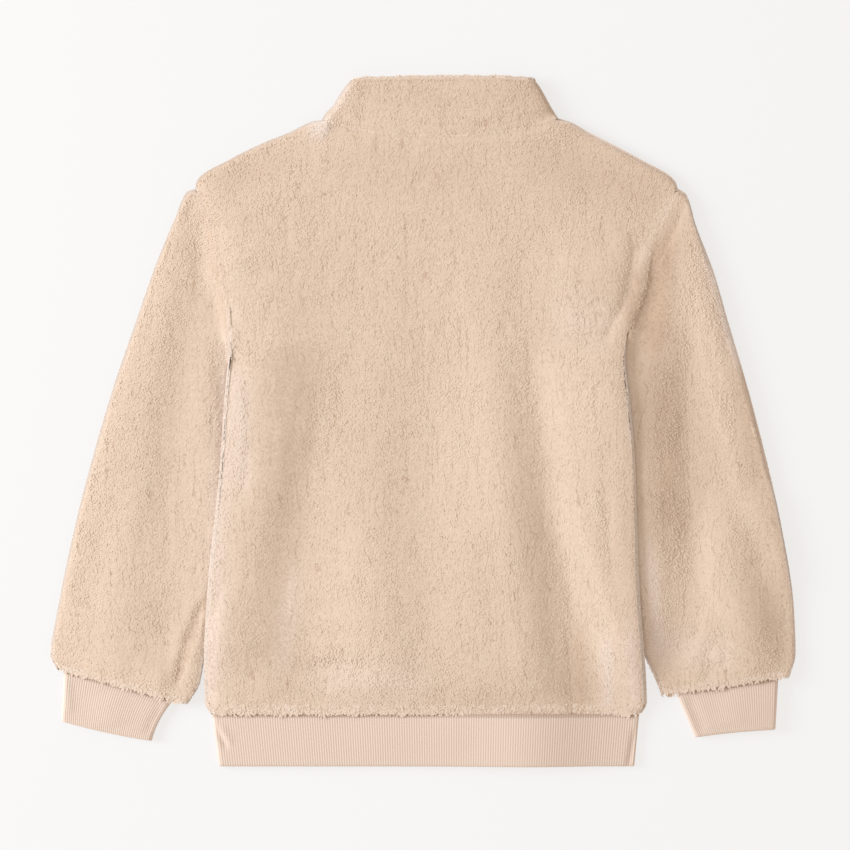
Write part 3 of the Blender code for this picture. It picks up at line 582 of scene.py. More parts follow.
def groove(line, x, y, depth, width):
    """A seam sinks into the pile: a valley along a line of points."""
    return -depth * np.exp(-((away_from(line, x, y) / width) ** 2))


def matting(x, y):
    """Clumps and partings of the pile."""
    raised = swells(FINE_CLUMPS, x, y) + swells(CLUMPS, x, y) + swells(WAVES, x, y)
    painted_and_parted = np.clip(noise(x, y, *PARTINGS[1:]) - PARTING_FROM, 0.0, 1.0)
    return raised - PARTINGS.amount * painted_and_parted


print("matting at the middle of the back", round(float(matting(0.0, 0.0)) * 1000, 3), "mm")

# %% [markdown]
# ## From grids to walls
#
# Every cloth here is a grid of points wrapped into a wall: an outer sheet, an inner sheet and a rim
# that joins them. `create_grid` makes each sheet with all its faces, and only its points are moved.
# The outer sheet of a fleece stands back from the solid's surface by the depth of the pile, because
# the solid reaches about as far as the locks' tips do, and the locks fill that depth again.

# %% Walls
PILE_DEPTH = 0.0007
TURNED_OVER = 0.001  # where the wall runs backwards by this much, its way is turned round


def facing(points, inside, closed):
    """Which way the cloth faces at each point of an outer grid."""
    if closed:
        across = np.roll(points, -1, axis=1) - np.roll(points, 1, axis=1)
    else:
        across = np.gradient(points, axis=1)
    way = unit(np.cross(across, np.gradient(points, axis=0)))
    outward = (way * (points - inside)).sum(axis=-1, keepdims=True)
    way = way * np.sign(outward.sum())
    return np.where(outward * np.sign(outward.sum()) < -TURNED_OVER, -way, way)


def sheet(mesh, points, closed):
    """Adds a grid of faces through the points, and gives back its rows of vertices."""
    rows, columns = points.shape[:2]
    made = bmesh.ops.create_grid(mesh, x_segments=columns - 1, y_segments=rows - 1, size=1.0)
    for vert, point in zip(made["verts"], points.reshape(-1, 3)):
        vert.co = point
    verts = [made["verts"][row * columns : (row + 1) * columns] for row in range(rows)]
    if closed:
        for low, high in zip(verts, verts[1:]):
            mesh.faces.new((low[-1], low[0], high[0], high[-1]))
    return verts


def border(verts):
    """The vertices round the edge of an open sheet, in order."""
    right, left = [row[-1] for row in verts[1:-1]], [row[0] for row in verts[1:-1]]
    return verts[0] + right + verts[-1][::-1] + left[::-1]


def rim(mesh, outer, inner):
    """Joins two loops of vertices by a closed strip of faces."""
    for k in range(len(outer)):
        mesh.faces.new((outer[k - 1], outer[k], inner[k], inner[k - 1]))


def placed(name, data):
    """A smooth-shaded object of a mesh, which rides on the garment's one body."""
    data.shade_smooth()
    piece = bpy.data.objects.new(name, data)
    bpy.context.scene.collection.objects.link(piece)
    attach(piece, "root")
    return piece


def remember(data, name, values):
    """Gives each point of a mesh a number that its material can read."""
    made = data.attributes.new(name, "FLOAT", "POINT")
    made.data.foreach_set("value", values.astype(np.float32))


def wall(name, node, slot, outer, inner, closed):
    """A cloth between an outer and an inner grid, in the place of one solid."""
    mesh = bmesh.new()
    outside, inside = sheet(mesh, outer, closed), sheet(mesh, inner, closed)
    if closed:
        for end in (0, -1):
            rim(mesh, outside[end], inside[end])
    else:
        rim(mesh, border(outside), border(inside))
    bmesh.ops.recalc_face_normals(mesh, faces=mesh.faces)
    data = bpy.data.meshes.new(name)
    mesh.to_mesh(data)
    mesh.free()
    piece = placed(name, data)
    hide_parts(node)
    return piece


def surface_area(points, closed=False):
    """Area of a grid of points, in square metres."""
    if closed:
        points = np.concatenate([points, points[:, :1]], axis=1)
    a, b = points[1:, :-1] - points[:-1, :-1], points[:-1, 1:] - points[:-1, :-1]
    return float(np.linalg.norm(np.cross(a, b), axis=-1).sum())


def ring(over, under):
    """One closed ring from its upper and its lower half, which share both folded edges."""
    return np.concatenate([over, under[-2:0:-1]])


def lifted(plan, level):
    """Points seen from above, at their levels."""
    return np.concatenate([plan, level[..., None]], axis=-1)


print("pile depth", PILE_DEPTH * 1000, "mm")

# %% [markdown]
# ## The back and the front
#
# Both are four-sided patches between the hem, two sides and a top edge made of two shoulders and the
# neck. A Coons patch fills such a shape from its four edges alone: it adds what runs across to what
# runs up, and takes away the flat patch of the four corners that was counted twice. The front has the
# deeper neck and lies underneath, flat on the floor.

# %% Edges of the body
HEM_ROUND = 0.0110
HEM_ROUND_SHARES = np.array([0.0, 0.15, 0.4, 0.7])
Division = namedtuple("Division", "shoulder neck side armhole")
BACK_DIVISION = Division(38, 66, 108, 46)
FRONT_DIVISION = Division(24, 40, 66, 30)


def edges_of_body(division, drop):
    """The two sides, the top edge, the neck seam within it, and the row of the underarms."""
    hem = BODY[0].up
    straight = np.linspace(hem + HEM_ROUND, BODY[-1].up, division.side)
    up = np.concatenate([hem + HEM_ROUND * HEM_ROUND_SHARES, straight])
    sides = []
    for side, sleeve_rows in (("left", LEFT_SLEEVE), ("right", RIGHT_SLEEVE)):
        low = np.stack([along(BODY, "up", side, up), up], axis=-1)
        sides.append(np.concatenate([low, armhole(side, sleeve_rows, division.armhole)[1:]]))
    seam = neck(COLLAR[0], drop, ROLL, division.neck)
    shoulders = [shoulder(side, division.shoulder) for side in ("left", "right")]
    top = np.concatenate([shoulders[0], seam[1:-1], shoulders[1][::-1]])
    return sides, top, seam, len(up) - 1


def patch(left, right, bottom, top, u, v):
    """A Coons patch between four edges."""
    across = (1 - u) * left[:, None] + u * right[:, None]
    upward = (1 - v) * bottom[None] + v * top[None]
    low = (1 - u) * left[0] + u * right[0]
    high = (1 - u) * left[-1] + u * right[-1]
    return across + upward - (1 - v) * low - v * high


top_edge = edges_of_body(BACK_DIVISION, BACK_NECK_DROP)[1]
print("the back's top edge has", len(top_edge), "points")

# %% [markdown]
# The patch is worked out as seen from above. Next come two maps over it: how far the cloth has risen
# from each edge, and how much of the wall's thickness lies sideways there. A panel is folded at its
# sides below the armholes and along the shoulders, and it is cut open at the hem, armholes and neck.

# %% Body panels
def columns_of(division):
    """How many columns a panel has between its two rolled sides, and which two end its neck."""
    middle = 2 * division.shoulder + 2 * ROLL_STEPS + division.neck
    first = ROLL_STEPS + division.shoulder
    return middle, first, middle + 2 * ROLL_STEPS - first


def panel_plan(division, drop):
    """A panel seen from above, the ways across and up it, and the row of the underarms."""
    middle, first, last = columns_of(division)
    sides, top, seam, under = edges_of_body(division, drop)
    left, right = sides
    width = right[0, 0] - left[0, 0]
    u = spread(width, middle, ROLL, ROLL) / width
    bottom = left[0] + u[:, None] * (right[0] - left[0])
    walked = [np.cumsum(np.linalg.norm(np.diff(edge, axis=0), axis=1)) for edge in sides]
    v = np.concatenate([[0.0], sum(way / way[-1] for way in walked) / 2])
    plan = patch(left, right, bottom, top, u[None, :, None], v[:, None, None])
    rightward = unit(np.gradient(plan, axis=1))
    upward = unit(np.gradient(plan, axis=0))

    # Back from the seams by half their gap, and along them where the wall leans
    half = SEAM_GAP / 2
    for edge, line, hand in ((0, left, 1), (-1, right, -1)):
        upward[under:, edge], beside = course(line[under:])
        plan[under:, edge] -= hand * half * beside
    rightward[-1, first : last + 1], beside = course(seam)
    plan[-1, first : last + 1] -= half * beside
    plan[-1, [first, last]] -= half * beside[[0, -1]]
    return plan, rightward, upward, under


def panel_folds(division, rows, under):
    """Where a panel's sides are folded, where its top is open, and how far it has risen."""
    middle, first, last = columns_of(division)
    side_fold, under_fold, top_open = np.zeros(rows), np.zeros(rows), np.ones(rows)
    side_fold[: under + 1] = 1.0
    under_fold[under : under + ROLL_STEPS + 1] = 1 - np.sin(ROLL_ANGLES)
    top_open[-ROLL_STEPS - 1 :] = np.sin(ROLL_ANGLES[::-1])
    risen = rise(middle)
    neck_open = np.zeros(len(risen))
    neck_open[first : last + 1] = rise(division.neck)
    side_cap = 1 - np.maximum(side_fold, under_fold)[:, None] * (1 - risen)
    return side_fold, top_open, side_cap * (1 - (1 - top_open)[:, None] * (1 - neck_open))


def panel_lean(division, under, side_fold, top_open):
    """How much of the wall's thickness lies across the panel, and how much lies along it."""
    middle, first, last = columns_of(division)
    side_lean, under_lean = lean(middle), np.zeros(len(side_fold))
    under_lean[under : under + ROLL_STEPS + 1] = np.cos(ROLL_ANGLES)
    top_lean = np.sqrt(1 - top_open**2)
    neck_lean, shoulders = np.zeros(len(side_lean)), np.ones(len(side_lean))
    neck_lean[first : last + 1] = lean(division.neck) - lean(division.neck)[::-1]
    shoulders[first : last + 1] = 0.0
    sideways = np.outer(side_fold, side_lean - side_lean[::-1]) + np.outer(top_lean, neck_lean)
    corners = slant(LEFT_SLEEVE, 0.0) * side_lean + slant(RIGHT_SLEEVE, 0.0) * side_lean[::-1]
    return sideways, np.outer(under_lean, corners) - np.outer(top_lean, shoulders)


def body_panel(back, division, drop):
    """Outer and inner grids of the back or the front."""
    plan, rightward, upward, under = panel_plan(division, drop)
    side_fold, top_open, cap = panel_folds(division, len(plan), under)
    sideways, endways = panel_lean(division, under, side_fold, top_open)
    lift, level, above, inside, thick = body_heights(plan[..., 0], plan[..., 1])
    inset = sideways[..., None] * rightward + endways[..., None] * upward
    if back:
        edge = level + SEAM_GAP / 2
        outer, inner = edge + (above - edge) * cap, edge + (inside - edge) * cap
    else:
        edge = level - SEAM_GAP / 2
        outer, inner = edge - (edge - lift) * cap, edge - (edge - lift - thick) * cap
    return lifted(plan, outer), lifted(plan + thick[..., None] * inset, inner)


back_outer, back_inner = body_panel(True, BACK_DIVISION, BACK_NECK_DROP)
front_outer, front_inner = body_panel(False, FRONT_DIVISION, FRONT_NECK_DROP)
print("back grid", back_outer.shape[:2], "front grid", front_outer.shape[:2])

# %% [markdown]
# The pile's relief goes onto these grids next. On the upper side it has creases, matting and a valley
# along every seam. Underneath, the garment's own weight has pressed it flat, so the cloth only stands
# back by the pile's depth. Close to the underarms the relief fades out, because two walls meet there
# at a sharp angle and would cross.
#
# Three walls meet at an armhole, and none of them may show a step. So a sleeve's start takes over the
# body's own relief at the seam, and changes to its own within a short way.

# %% Relief of the upper side
LEAST_WALL = 0.0015
FACING_UP = 0.35  # cloth that faces up by as much has its full relief
UNDERARM_PLAIN = 0.0160
SIDE_LINE_COUNT = 50
Valley = namedtuple("Valley", "line depth width")  # a negative depth is a roll
Join = namedtuple("Join", "seam reach valley")


def moved_right(line, distance):
    """A seam's line, moved towards the wearer's right."""
    return line + np.array([distance, 0.0])


def side_line(side):
    """The body's side edge from the hem to the underarm."""
    up = np.linspace(BODY[0].up, BODY[-1].up, SIDE_LINE_COUNT)
    return np.stack([along(BODY, "up", side, up), up], axis=-1)


NECK_SEAM = Valley(BACK_NECK, 0.0005, 0.0036)
BODY_FORMS = (
    Valley(LEFT_ARMHOLE, 0.0014, 0.0070),  # the slope to the left armhole
    Valley(moved_right(RIGHT_ARMHOLE, -0.0080), -0.0015, 0.0070),  # the roll by the right armhole
    Valley(moved_right(RIGHT_ARMHOLE, -0.0200), 0.0018, 0.0060),  # the dip beside that roll
    Valley(side_line("left"), 0.0032, 0.0120),  # the pressed left side
    Valley(side_line("right"), 0.0016, 0.0070),  # and the right side
)
BODY_SEAMS = (Valley(RIGHT_ARMHOLE, 0.0015, 0.0018), NECK_SEAM)
LEFT_JOIN = Join(LEFT_ARMHOLE, 0.0060, Valley(LEFT_ARMHOLE, 0.0005, 0.0020))
RIGHT_JOIN = Join(RIGHT_ARMHOLE, 0.0500, Valley(RIGHT_ARMHOLE, 0.0015, 0.0200))


def relief_at(x, y, creases, valleys):
    """How far the pile's surface stands out at x, y."""
    relief = folds(creases, x, y) + matting(x, y)
    for valley in valleys:
        relief += groove(valley.line, x, y, valley.depth, valley.width)
    return relief


def dressed(points, inside, closed, creases, valleys, joined=None):
    """An outer grid with its creases, matting and valleys, and which way it faces."""
    way = facing(points, inside, closed)
    x, y = points[..., 0], points[..., 1]
    relief = relief_at(x, y, creases, valleys)
    if joined:
        near = smooth(1 - away_from(joined.seam, x, y) / joined.reach)
        relief += near * (relief_at(x, y, BODY_CREASES, BODY_FORMS + (joined.valley,)) - relief)
    thick = np.linalg.norm(points - inside, axis=-1)
    upper = smooth(way[..., 2] / FACING_UP)
    sink = np.maximum(relief * upper - PILE_DEPTH, LEAST_WALL - thick)
    for corner in (ARMHOLE[0].left, ARMHOLE[0].right):
        away = np.hypot(x - corner, y - ARMHOLE[0].up)
        sink *= 1 - np.exp(-((away / UNDERARM_PLAIN) ** 2))
    return points + way * sink[..., None], way


back_points, back_way = dressed(back_outer, back_inner, False, BODY_CREASES, BODY_FORMS + BODY_SEAMS)
front_points, front_way = dressed(front_outer, front_inner, False, (), ())
back = wall("back", "back_panel", "fleece", back_points, back_inner, closed=False)
front = wall("front", "front_panel", "fleece", front_points, front_inner, closed=False)
for piece, points in ((back, back_points), (front, front_points)):
    print(piece.name, "faces", len(piece.data.polygons), "area", round(surface_area(points), 3), "m2")

# %% [markdown]
# ## The sleeves
#
# A sleeve is one piece of fleece sewn into a tube and flattened, so its grid closes on itself: each
# ring goes across the top from the inner to the outer folded edge and comes back underneath. Its first
# ring follows the armhole's curve, which fades out down the sleeve, and its last narrows to the cuff.

# %% Sleeves
ARMHOLE_FADE, ARMHOLE_BLEND, CUFF_FADE = 0.35, 0.12, 0.15  # shares of the sleeve's length
SLEEVE_SHARES = np.concatenate([[0.0, 0.008], np.linspace(0.02, 1.0, 132)])
SLEEVE_ACROSS_COUNT = 48


def sleeve(side, rows, ridges, middle):
    """Outer and inner grids of a sleeve."""
    seam = armhole(side, rows, middle)
    hand = 1 if side == "left" else -1
    lean_in, lean_out = lean(middle), lean(middle)[::-1]
    shared = body_heights(seam[:, 0], seam[:, 1])[1:]
    bent, outer, inner = 0.0, [], []
    for share in SLEEVE_SHARES:
        row = section(rows, share)
        start, end = np.array([row.in_x, row.in_y]), np.array([row.out_x, row.out_y])
        width = np.linalg.norm(end - start)
        stretch = slant(rows, share)
        across = spread(width, middle, ROLL * stretch, ROLL) / width
        plan = start + across[:, None] * (end - start)
        if share == 0.0:
            bent = seam - plan
        plan = plan + bent * max(0.0, 1 - share / ARMHOLE_FADE) ** 2
        run, beside = course(plan)
        if share == 0.0:
            plan = plan + hand * SEAM_GAP / 2 * beside
        ridge = folds(ridges, plan[:, 0], plan[:, 1]) * smooth((1 - share) / CUFF_FADE)
        own = heights(0.0, np.full(len(plan), row.thick), ridge, FLEECE_WALL)
        mix = smooth(share / ARMHOLE_BLEND)
        level, above, inside, thick = ((1 - mix) * s + mix * o for s, o in zip(shared, own))
        cap = rise(middle)
        inset = (stretch * lean_in - lean_out)[:, None] * run
        inner_plan = plan + thick[:, None] * inset
        over, under = level + (above - level) * cap, level - level * cap
        outer.append(ring(lifted(plan, over), lifted(plan, under)))
        over, under = level + (inside - level) * cap, level - (level - thick) * cap
        inner.append(ring(lifted(inner_plan, over), lifted(inner_plan, under)))
    return np.array(outer), np.array(inner)


sleeves = {}
for side, rows, ridges, creases, joined in (
    ("left", LEFT_SLEEVE, LEFT_SLEEVE_FOLDS, LEFT_SLEEVE_CREASES, LEFT_JOIN),
    ("right", RIGHT_SLEEVE, RIGHT_SLEEVE_FOLDS, RIGHT_SLEEVE_CREASES, RIGHT_JOIN),
):
    outer, inner = sleeve(side, rows, ridges, SLEEVE_ACROSS_COUNT)
    points, way = dressed(outer, inner, True, creases, (), joined)
    piece = wall("sleeve-" + side, "sleeve_" + side, "fleece", points, inner, closed=True)
    sleeves[side] = piece, points, way
    print(piece.name, points.shape[:2], "area", round(surface_area(points, True), 3), "m2")

# %% [markdown]
# ## The stand collar
#
# The collar is a band of fleece doubled over, so its wall is twice as thick and its top edge is a
# fold. Laid flat it is a short wide tube: its back stands over its front, whose top edge dips lower.

# %% Collar
COLLAR_GROWN = 0.30  # share of its height at which the collar has its full wall
COLLAR_EDGE, COLLAR_PINCH = 0.06, 0.30  # its top edge is pinched by as much of the wall
COLLAR_SHARES = np.concatenate([np.linspace(0.0, 0.92, 22), [0.945, 0.965, 0.982, 0.994, 1.0]])
COLLAR_ACROSS_COUNT = 66
COLLAR_CREASES = (
    Fold("left bulge", -0.093, 0.312, -0.112, 0.296, 0.012, 0.0022),
    Fold("slack at the left", -0.050, 0.336, -0.060, 0.300, 0.014, -0.0010),
    Fold("right fold", 0.114, 0.346, 0.134, 0.306, 0.016, -0.0022),
    Fold("slack at the right", 0.050, 0.338, 0.060, 0.300, 0.016, 0.0008),
)


def collar_grid(middle):
    """Outer and inner grids of the collar, a ring for each height up it."""
    outer, inner = [], []
    cap = rise(middle)
    for share in COLLAR_SHARES:
        row = section(COLLAR, share)
        grown = smooth(share / COLLAR_GROWN)
        full = FLEECE_WALL + (COLLAR_WALL - FLEECE_WALL) * grown
        roll = ROLL + (COLLAR_ROLL - ROLL) * grown
        back_drop = BACK_NECK_DROP - (COLLAR_TOP_BACK_RISE + BACK_NECK_DROP) * share
        front_drop = FRONT_NECK_DROP + (COLLAR_TOP_FRONT_DROP - FRONT_NECK_DROP) * share
        halves = []
        for drop in (back_drop, front_drop):
            plan = neck(row, drop, roll, middle)
            shared = body_heights(plan[:, 0], plan[:, 1])[1:]
            own = heights(0.0, np.full(len(plan), row.thick), 0.0, full)
            level, above, inside, thick = ((1 - grown) * s + grown * o for s, o in zip(shared, own))
            run, beside = course(plan)
            if share == 0.0:
                plan = plan + SEAM_GAP / 2 * beside
            inset = (lean(middle) - lean(middle)[::-1])[:, None] * run
            pinch = COLLAR_PINCH * (1 - smooth((1 - share) / COLLAR_EDGE)) * thick
            halves.append((plan, plan + thick[:, None] * inset, level, above, inside, thick, pinch))
        (plan, within, level, above, inside, thick, pinch), front_half = halves
        over = lifted(plan, level + (above - pinch - level) * cap)
        over_in = lifted(within, level + (inside + pinch - level) * cap)
        plan, within, level, above, inside, thick, pinch = front_half
        under = lifted(plan, level - (level - pinch) * cap)
        under_in = lifted(within, level - (level - thick + pinch) * cap)
        outer.append(ring(over, under))
        inner.append(ring(over_in, under_in))
    return np.array(outer), np.array(inner)


collar_outer, collar_inner = collar_grid(COLLAR_ACROSS_COUNT)
collar_points, collar_way = dressed(collar_outer, collar_inner, True, COLLAR_CREASES, (NECK_SEAM,))
collar = wall("stand-collar", "collar", "fleece", collar_points, collar_inner, closed=True)
print("collar", collar_points.shape[:2], "area", round(surface_area(collar_points, True), 3), "m2")

# %% [markdown]
# ## Ribbed bands
#
# The hem band and the cuffs are knitted in fine ribs, doubled over, so each is a flat ring with a soft
# fold at its free end. The ribs are real ridges: walking across the band, the surface goes up and down
# once every two and a half millimetres, round the folded sides too. Underneath, the ribs are pressed
# flat on the floor. Each point also remembers its rib and its height, so the knit's small stitches
# can follow the ribs where a cuff fans out.

# %% Creases of the bands
HEM_CREASES = (
    Fold("left diagonal", -0.2070, -0.3080, -0.1960, -0.3260, 0.0022, -0.0016),
    Fold("left lip", -0.2030, -0.3060, -0.1930, -0.3230, 0.0030, 0.0009),
    Fold("right side fold", 0.2120, -0.3120, 0.2060, -0.3450, 0.0024, -0.0015),
    Fold("long swell", -0.0600, -0.3120, 0.0400, -0.3160, 0.0120, 0.0006),
    Fold("right swell", 0.0700, -0.2800, 0.0750, -0.3600, 0.0450, 0.0022),
    Fold("right slack", 0.2100, -0.2800, 0.2000, -0.3600, 0.0500, -0.0014),
    Fold("right fall", 0.1150, -0.2800, 0.1150, -0.3600, 0.0330, 0.0048),
)
LEFT_CUFF_CREASES = (
    Fold("bend at the left", -0.3580, -0.2560, -0.3540, -0.2900, 0.0040, 0.0008),
    Fold("bend at the right", -0.2620, -0.2860, -0.2760, -0.3120, 0.0040, -0.0009),
    Fold("soft swell", -0.3160, -0.2760, -0.3120, -0.3040, 0.0120, 0.0008),
)
RIGHT_CUFF_CREASES = (
    Fold("bend at the left", 0.2660, -0.2760, 0.2800, -0.3100, 0.0045, -0.0009),
    Fold("soft swell", 0.3100, -0.2720, 0.3130, -0.3020, 0.0120, 0.0008),
    Fold("rise to the right", 0.3450, -0.2500, 0.3450, -0.3200, 0.0300, 0.0024),
)
print(len(HEM_CREASES), "creases on the hem band")

# %% [markdown]
# A band is built ring by ring, from the edge that is sewn on to its free edge. Across the top it is
# walked in steps of an eighth of a rib, and the first and last steps go round its folded sides.

# %% Rings of a band
RIB_PITCH, RIB_HEIGHT, RIB_SHAPE = 0.0025, 0.0004, 0.75
POINTS_PER_RIB = 8
BAND_SHARES = np.concatenate([[0.0, 0.02, 0.05], np.linspace(0.1, 0.92, 15), [0.95, 0.975, 0.99, 1.0]])
FREE_EDGE, FREE_EDGE_ROUND = 0.05, 0.0012
RIBS_FADE = 4  # the higher, the closer to the free edge the ribs run out
ROUND_THE_ROLLS = (math.pi - 2) * RIB_ROLL  # longer than straight across by as much


def band_section(rows, waist, share):
    """A section across a band: its left end, its right end and its bow."""
    row = BandRow(*[(1 - share) * sewn + share * free for sewn, free in zip(*rows)])
    start, end = np.array([row.left_x, row.left_y]), np.array([row.right_x, row.right_y])
    end[0] -= waist * 4 * share * (1 - share)
    return start, end, row.bow


def on_section(start, end, bow, distance, level):
    """Points at some distances from a section's left end."""
    part = distance / np.linalg.norm(end - start)
    plan = start + part[:, None] * (end - start)
    plan[:, 1] += bow * 4 * part * (1 - part)
    return lifted(plan, level)


def over_the_rolls(width, count, ribs):
    """A walk over the top: how far across, how high up the rolls, and how far it faces sideways."""
    walked = (width + ROUND_THE_ROLLS) * count / ribs
    turn = np.clip(walked / RIB_ROLL, 0.0, math.pi / 2)
    back_turn = np.clip((walked[-1] - walked) / RIB_ROLL, 0.0, math.pi / 2)
    near_left = RIB_ROLL * (1 - np.cos(turn)) + walked - RIB_ROLL * turn
    near_right = width - RIB_ROLL * (1 - np.cos(back_turn))
    bulge = np.sin(np.minimum(turn, back_turn))
    sideways = np.where(turn < back_turn, -1.0, 1.0) * np.sqrt(1 - bulge**2)
    return np.where(back_turn < math.pi / 2, near_right, near_left), bulge, sideways


def band_ring(crossing, creases, ribs, count, share):
    """A band's outer and inner ring at one section, and the rib on which each point lies."""
    width = np.linalg.norm(crossing[1] - crossing[0])
    across, bulge, sideways = over_the_rolls(width, count, ribs)
    late = np.clip(1 - (1 - share) / FREE_EDGE, 0.0, 1.0)
    pinch = FREE_EDGE_ROUND * (1 - math.sqrt(1 - late**2))
    wave = (0.5 - 0.5 * np.cos(2 * math.pi * count)) ** RIB_SHAPE
    crest = RIB_HEIGHT * wave * (1 - late**RIBS_FADE)
    level = RIB_ROLL + (RIB_ROLL + crest - pinch) * bulge
    over = on_section(*crossing, across + crest * sideways, level)
    over[:, 2] += folds(creases, over[:, 0], over[:, 1]) * bulge**2
    plain, cap = spread(width, ribs, RIB_ROLL, RIB_ROLL), rise(ribs)
    under = on_section(*crossing, plain, RIB_ROLL - (RIB_ROLL - pinch) * cap)

    inset = plain + RIB_WALL * (lean(ribs) - lean(ribs)[::-1])
    core = (RIB_ROLL - RIB_WALL + pinch) * cap
    within = on_section(*crossing, inset, RIB_ROLL + core)
    beneath = on_section(*crossing, inset, RIB_ROLL - core)
    coarse = np.linspace(0, len(over) - 1, len(plain)).astype(int) / (len(over) - 1)
    fine = np.stack([np.interp(count / ribs, coarse, within[:, k]) for k in range(3)], -1)
    rib = np.concatenate([count, np.interp(plain[-2:0:-1], across, count)])
    return ring(over, under), ring(fine, beneath), rib


print("a rib is", RIB_PITCH * 1000, "mm wide and", RIB_HEIGHT * 1000, "mm high")

# %% [markdown]
# Ribs lit by their true normals look like corrugated sheet, because yarn lets light through. So each
# normal is turned most of the way back to the band's own, and only a tenth of the rib's stays.

# %% Bands of rib knit
RIB_NORMAL = 0.10
LEFT_CUFF_WAIST = 0.0032


def soften_ribs(data, shape):
    """Turns each normal of the ribs most of the way back to the band's own."""
    normals = np.empty(3 * len(data.vertices), np.float32)
    data.vertices.foreach_get("normal", normals)
    normals = normals.reshape(2, shape[0], shape[1], 3)
    reach = range(-POINTS_PER_RIB // 2, POINTS_PER_RIB // 2)
    plain = unit(sum(np.roll(normals[0], k, axis=1) for k in reach))
    normals[0] = unit(RIB_NORMAL * normals[0] + (1 - RIB_NORMAL) * plain)
    data.normals_split_custom_set_from_vertices(normals.reshape(-1, 3).tolist())


def band(name, node, rows, creases, waist=0.0):
    """A whole ribbed band, whose points remember their rib and their height."""
    start, end = band_section(rows, waist, 0.0)[:2]
    ribs = round((np.linalg.norm(end - start) + ROUND_THE_ROLLS) / RIB_PITCH)
    tall = np.linalg.norm(band_section(rows, waist, 1.0)[0] - start)
    count = np.arange(POINTS_PER_RIB * ribs + 1) / POINTS_PER_RIB
    rings = [
        band_ring(band_section(rows, waist, share), creases, ribs, count, share)
        for share in BAND_SHARES
    ]
    outer, inner, rib = (np.array(part) for part in zip(*rings))
    piece = wall(name, node, "rib_knit", outer, inner, closed=True)
    soften_ribs(piece.data, outer.shape)
    height = np.broadcast_to(BAND_SHARES[:, None] * tall, rib.shape)
    knit = np.stack([rib, height, np.zeros(rib.shape)], axis=-1)
    where = piece.data.attributes.new("knit", "FLOAT_VECTOR", "POINT")
    where.data.foreach_set("vector", np.array([knit, knit], np.float32).ravel())
    print(name, ribs, "ribs,", len(piece.data.polygons), "faces")
    return piece


hem_band = band("hem-band", "hem_band", HEM_BAND, HEM_CREASES)
left_cuff = band("cuff-left", "cuff_left", LEFT_CUFF, LEFT_CUFF_CREASES, LEFT_CUFF_WAIST)
right_cuff = band("cuff-right", "cuff_right", RIGHT_CUFF, RIGHT_CUFF_CREASES)

# %% [markdown]
# ## The pile
#
# Sherpa's pile is made of short curled locks, each a small bundle of fibres. A lock here is a leaf of
# two faces that bends over at its middle: that is enough, because there are tens of thousands and each
# is only two millimetres wide. They stand as evenly as rain falls: each takes its own small patch of
# cloth, and its place within it is drawn by lot. The underside lies on the floor and needs fewer.

# %% Scattering
UPPER_PATCH, UNDER_PATCH = 2.85e-6, 9.0e-6  # square metres for each lock


def scatter(points, way, closed, rng):
    """Even but unordered places on a grid, and which way the cloth faces at each."""
    if closed:
        points = np.concatenate([points, points[:, :1]], axis=1)
        way = np.concatenate([way, way[:, :1]], axis=1)
    a, b = points[1:, :-1] - points[:-1, :-1], points[:-1, 1:] - points[:-1, :-1]
    area = np.linalg.norm(np.cross(a, b), axis=-1)
    upper = smooth((way[:-1, :-1, 2] + FACING_UP) / FACING_UP)
    total = np.cumsum((area * (upper / UPPER_PATCH + (1 - upper) / UNDER_PATCH)).ravel())
    count = int(total[-1])
    cell = np.searchsorted(total, np.arange(count) + rng.random(count))
    row, col = np.divmod(np.minimum(cell, total.size - 1), area.shape[1])
    u, v = rng.random((2, count, 1))

    def read(grid):
        low = grid[row, col] * (1 - u) + grid[row, col + 1] * u
        return low * (1 - v) + (grid[row + 1, col] * (1 - u) + grid[row + 1, col + 1] * u) * v

    return read(points), unit(read(way))


print("one lock stands on each", round(UPPER_PATCH * 1e6, 2), "square millimetres")

# %% [markdown]
# Which way locks lean is not random: neighbours lean together, and where two groups lean apart the pile
# parts in a short upright hairline. So the lean is read from lattice noise that is stretched along the
# garment, with a little scatter of each lock's own.
#
# On a rolled edge the cloth turns down, and locks that stood square to it would bristle. There they
# are smaller, stand as if the cloth still faced up a little, and are lit from above as a soft edge
# is. Their colour there is painted paler, a painted highlight along the edge. Under the body's sides
# the sleeves have none, because it would only push through.

# %% How the pile lies
LEAN_FINE = Swell(0.65, 0.0055, 11, 4.0)
LEAN_BROAD = Swell(0.40, 0.0300, 12, 1.5)
LEAN_SCATTER = 0.40
FALL = 0.80
FALL_SWELL = Swell(0.30, 0.0110, 13, 1.5)
FALL_SCATTER = 0.30
STEEP_FROM, STEEP_FULL = 0.97, 0.70  # how far the cloth faces up where it counts as steep and its pile is painted paler, a painted highlight
# how much painted highlight a fully steep edge gets
STEEP_HIGHLIGHT = 0.55
TURNED_FROM, TURNED_FULL = -0.85, -0.45  # cloth that faces down by more stays as it is


def leaning(root, way, down, rng):
    """Which way each lock leans along the cloth: with its neighbours, and mostly down the garment."""
    x, y = root[:, 0], root[:, 1]
    side = swells(LEAN_FINE, x, y) + swells(LEAN_BROAD, x, y) + rng.normal(0.0, LEAN_SCATTER, len(x))
    fall = FALL + swells(FALL_SWELL, x, y) + rng.normal(0.0, FALL_SCATTER, len(x))
    down_x, down_y = unit(np.array(down))
    along_x, along_y = fall * down_x - side * down_y, fall * down_y + side * down_x
    lay = np.stack([along_x, along_y, np.zeros(len(x))], axis=-1)
    lay -= way * (lay * way).sum(-1, keepdims=True)
    return unit(lay)


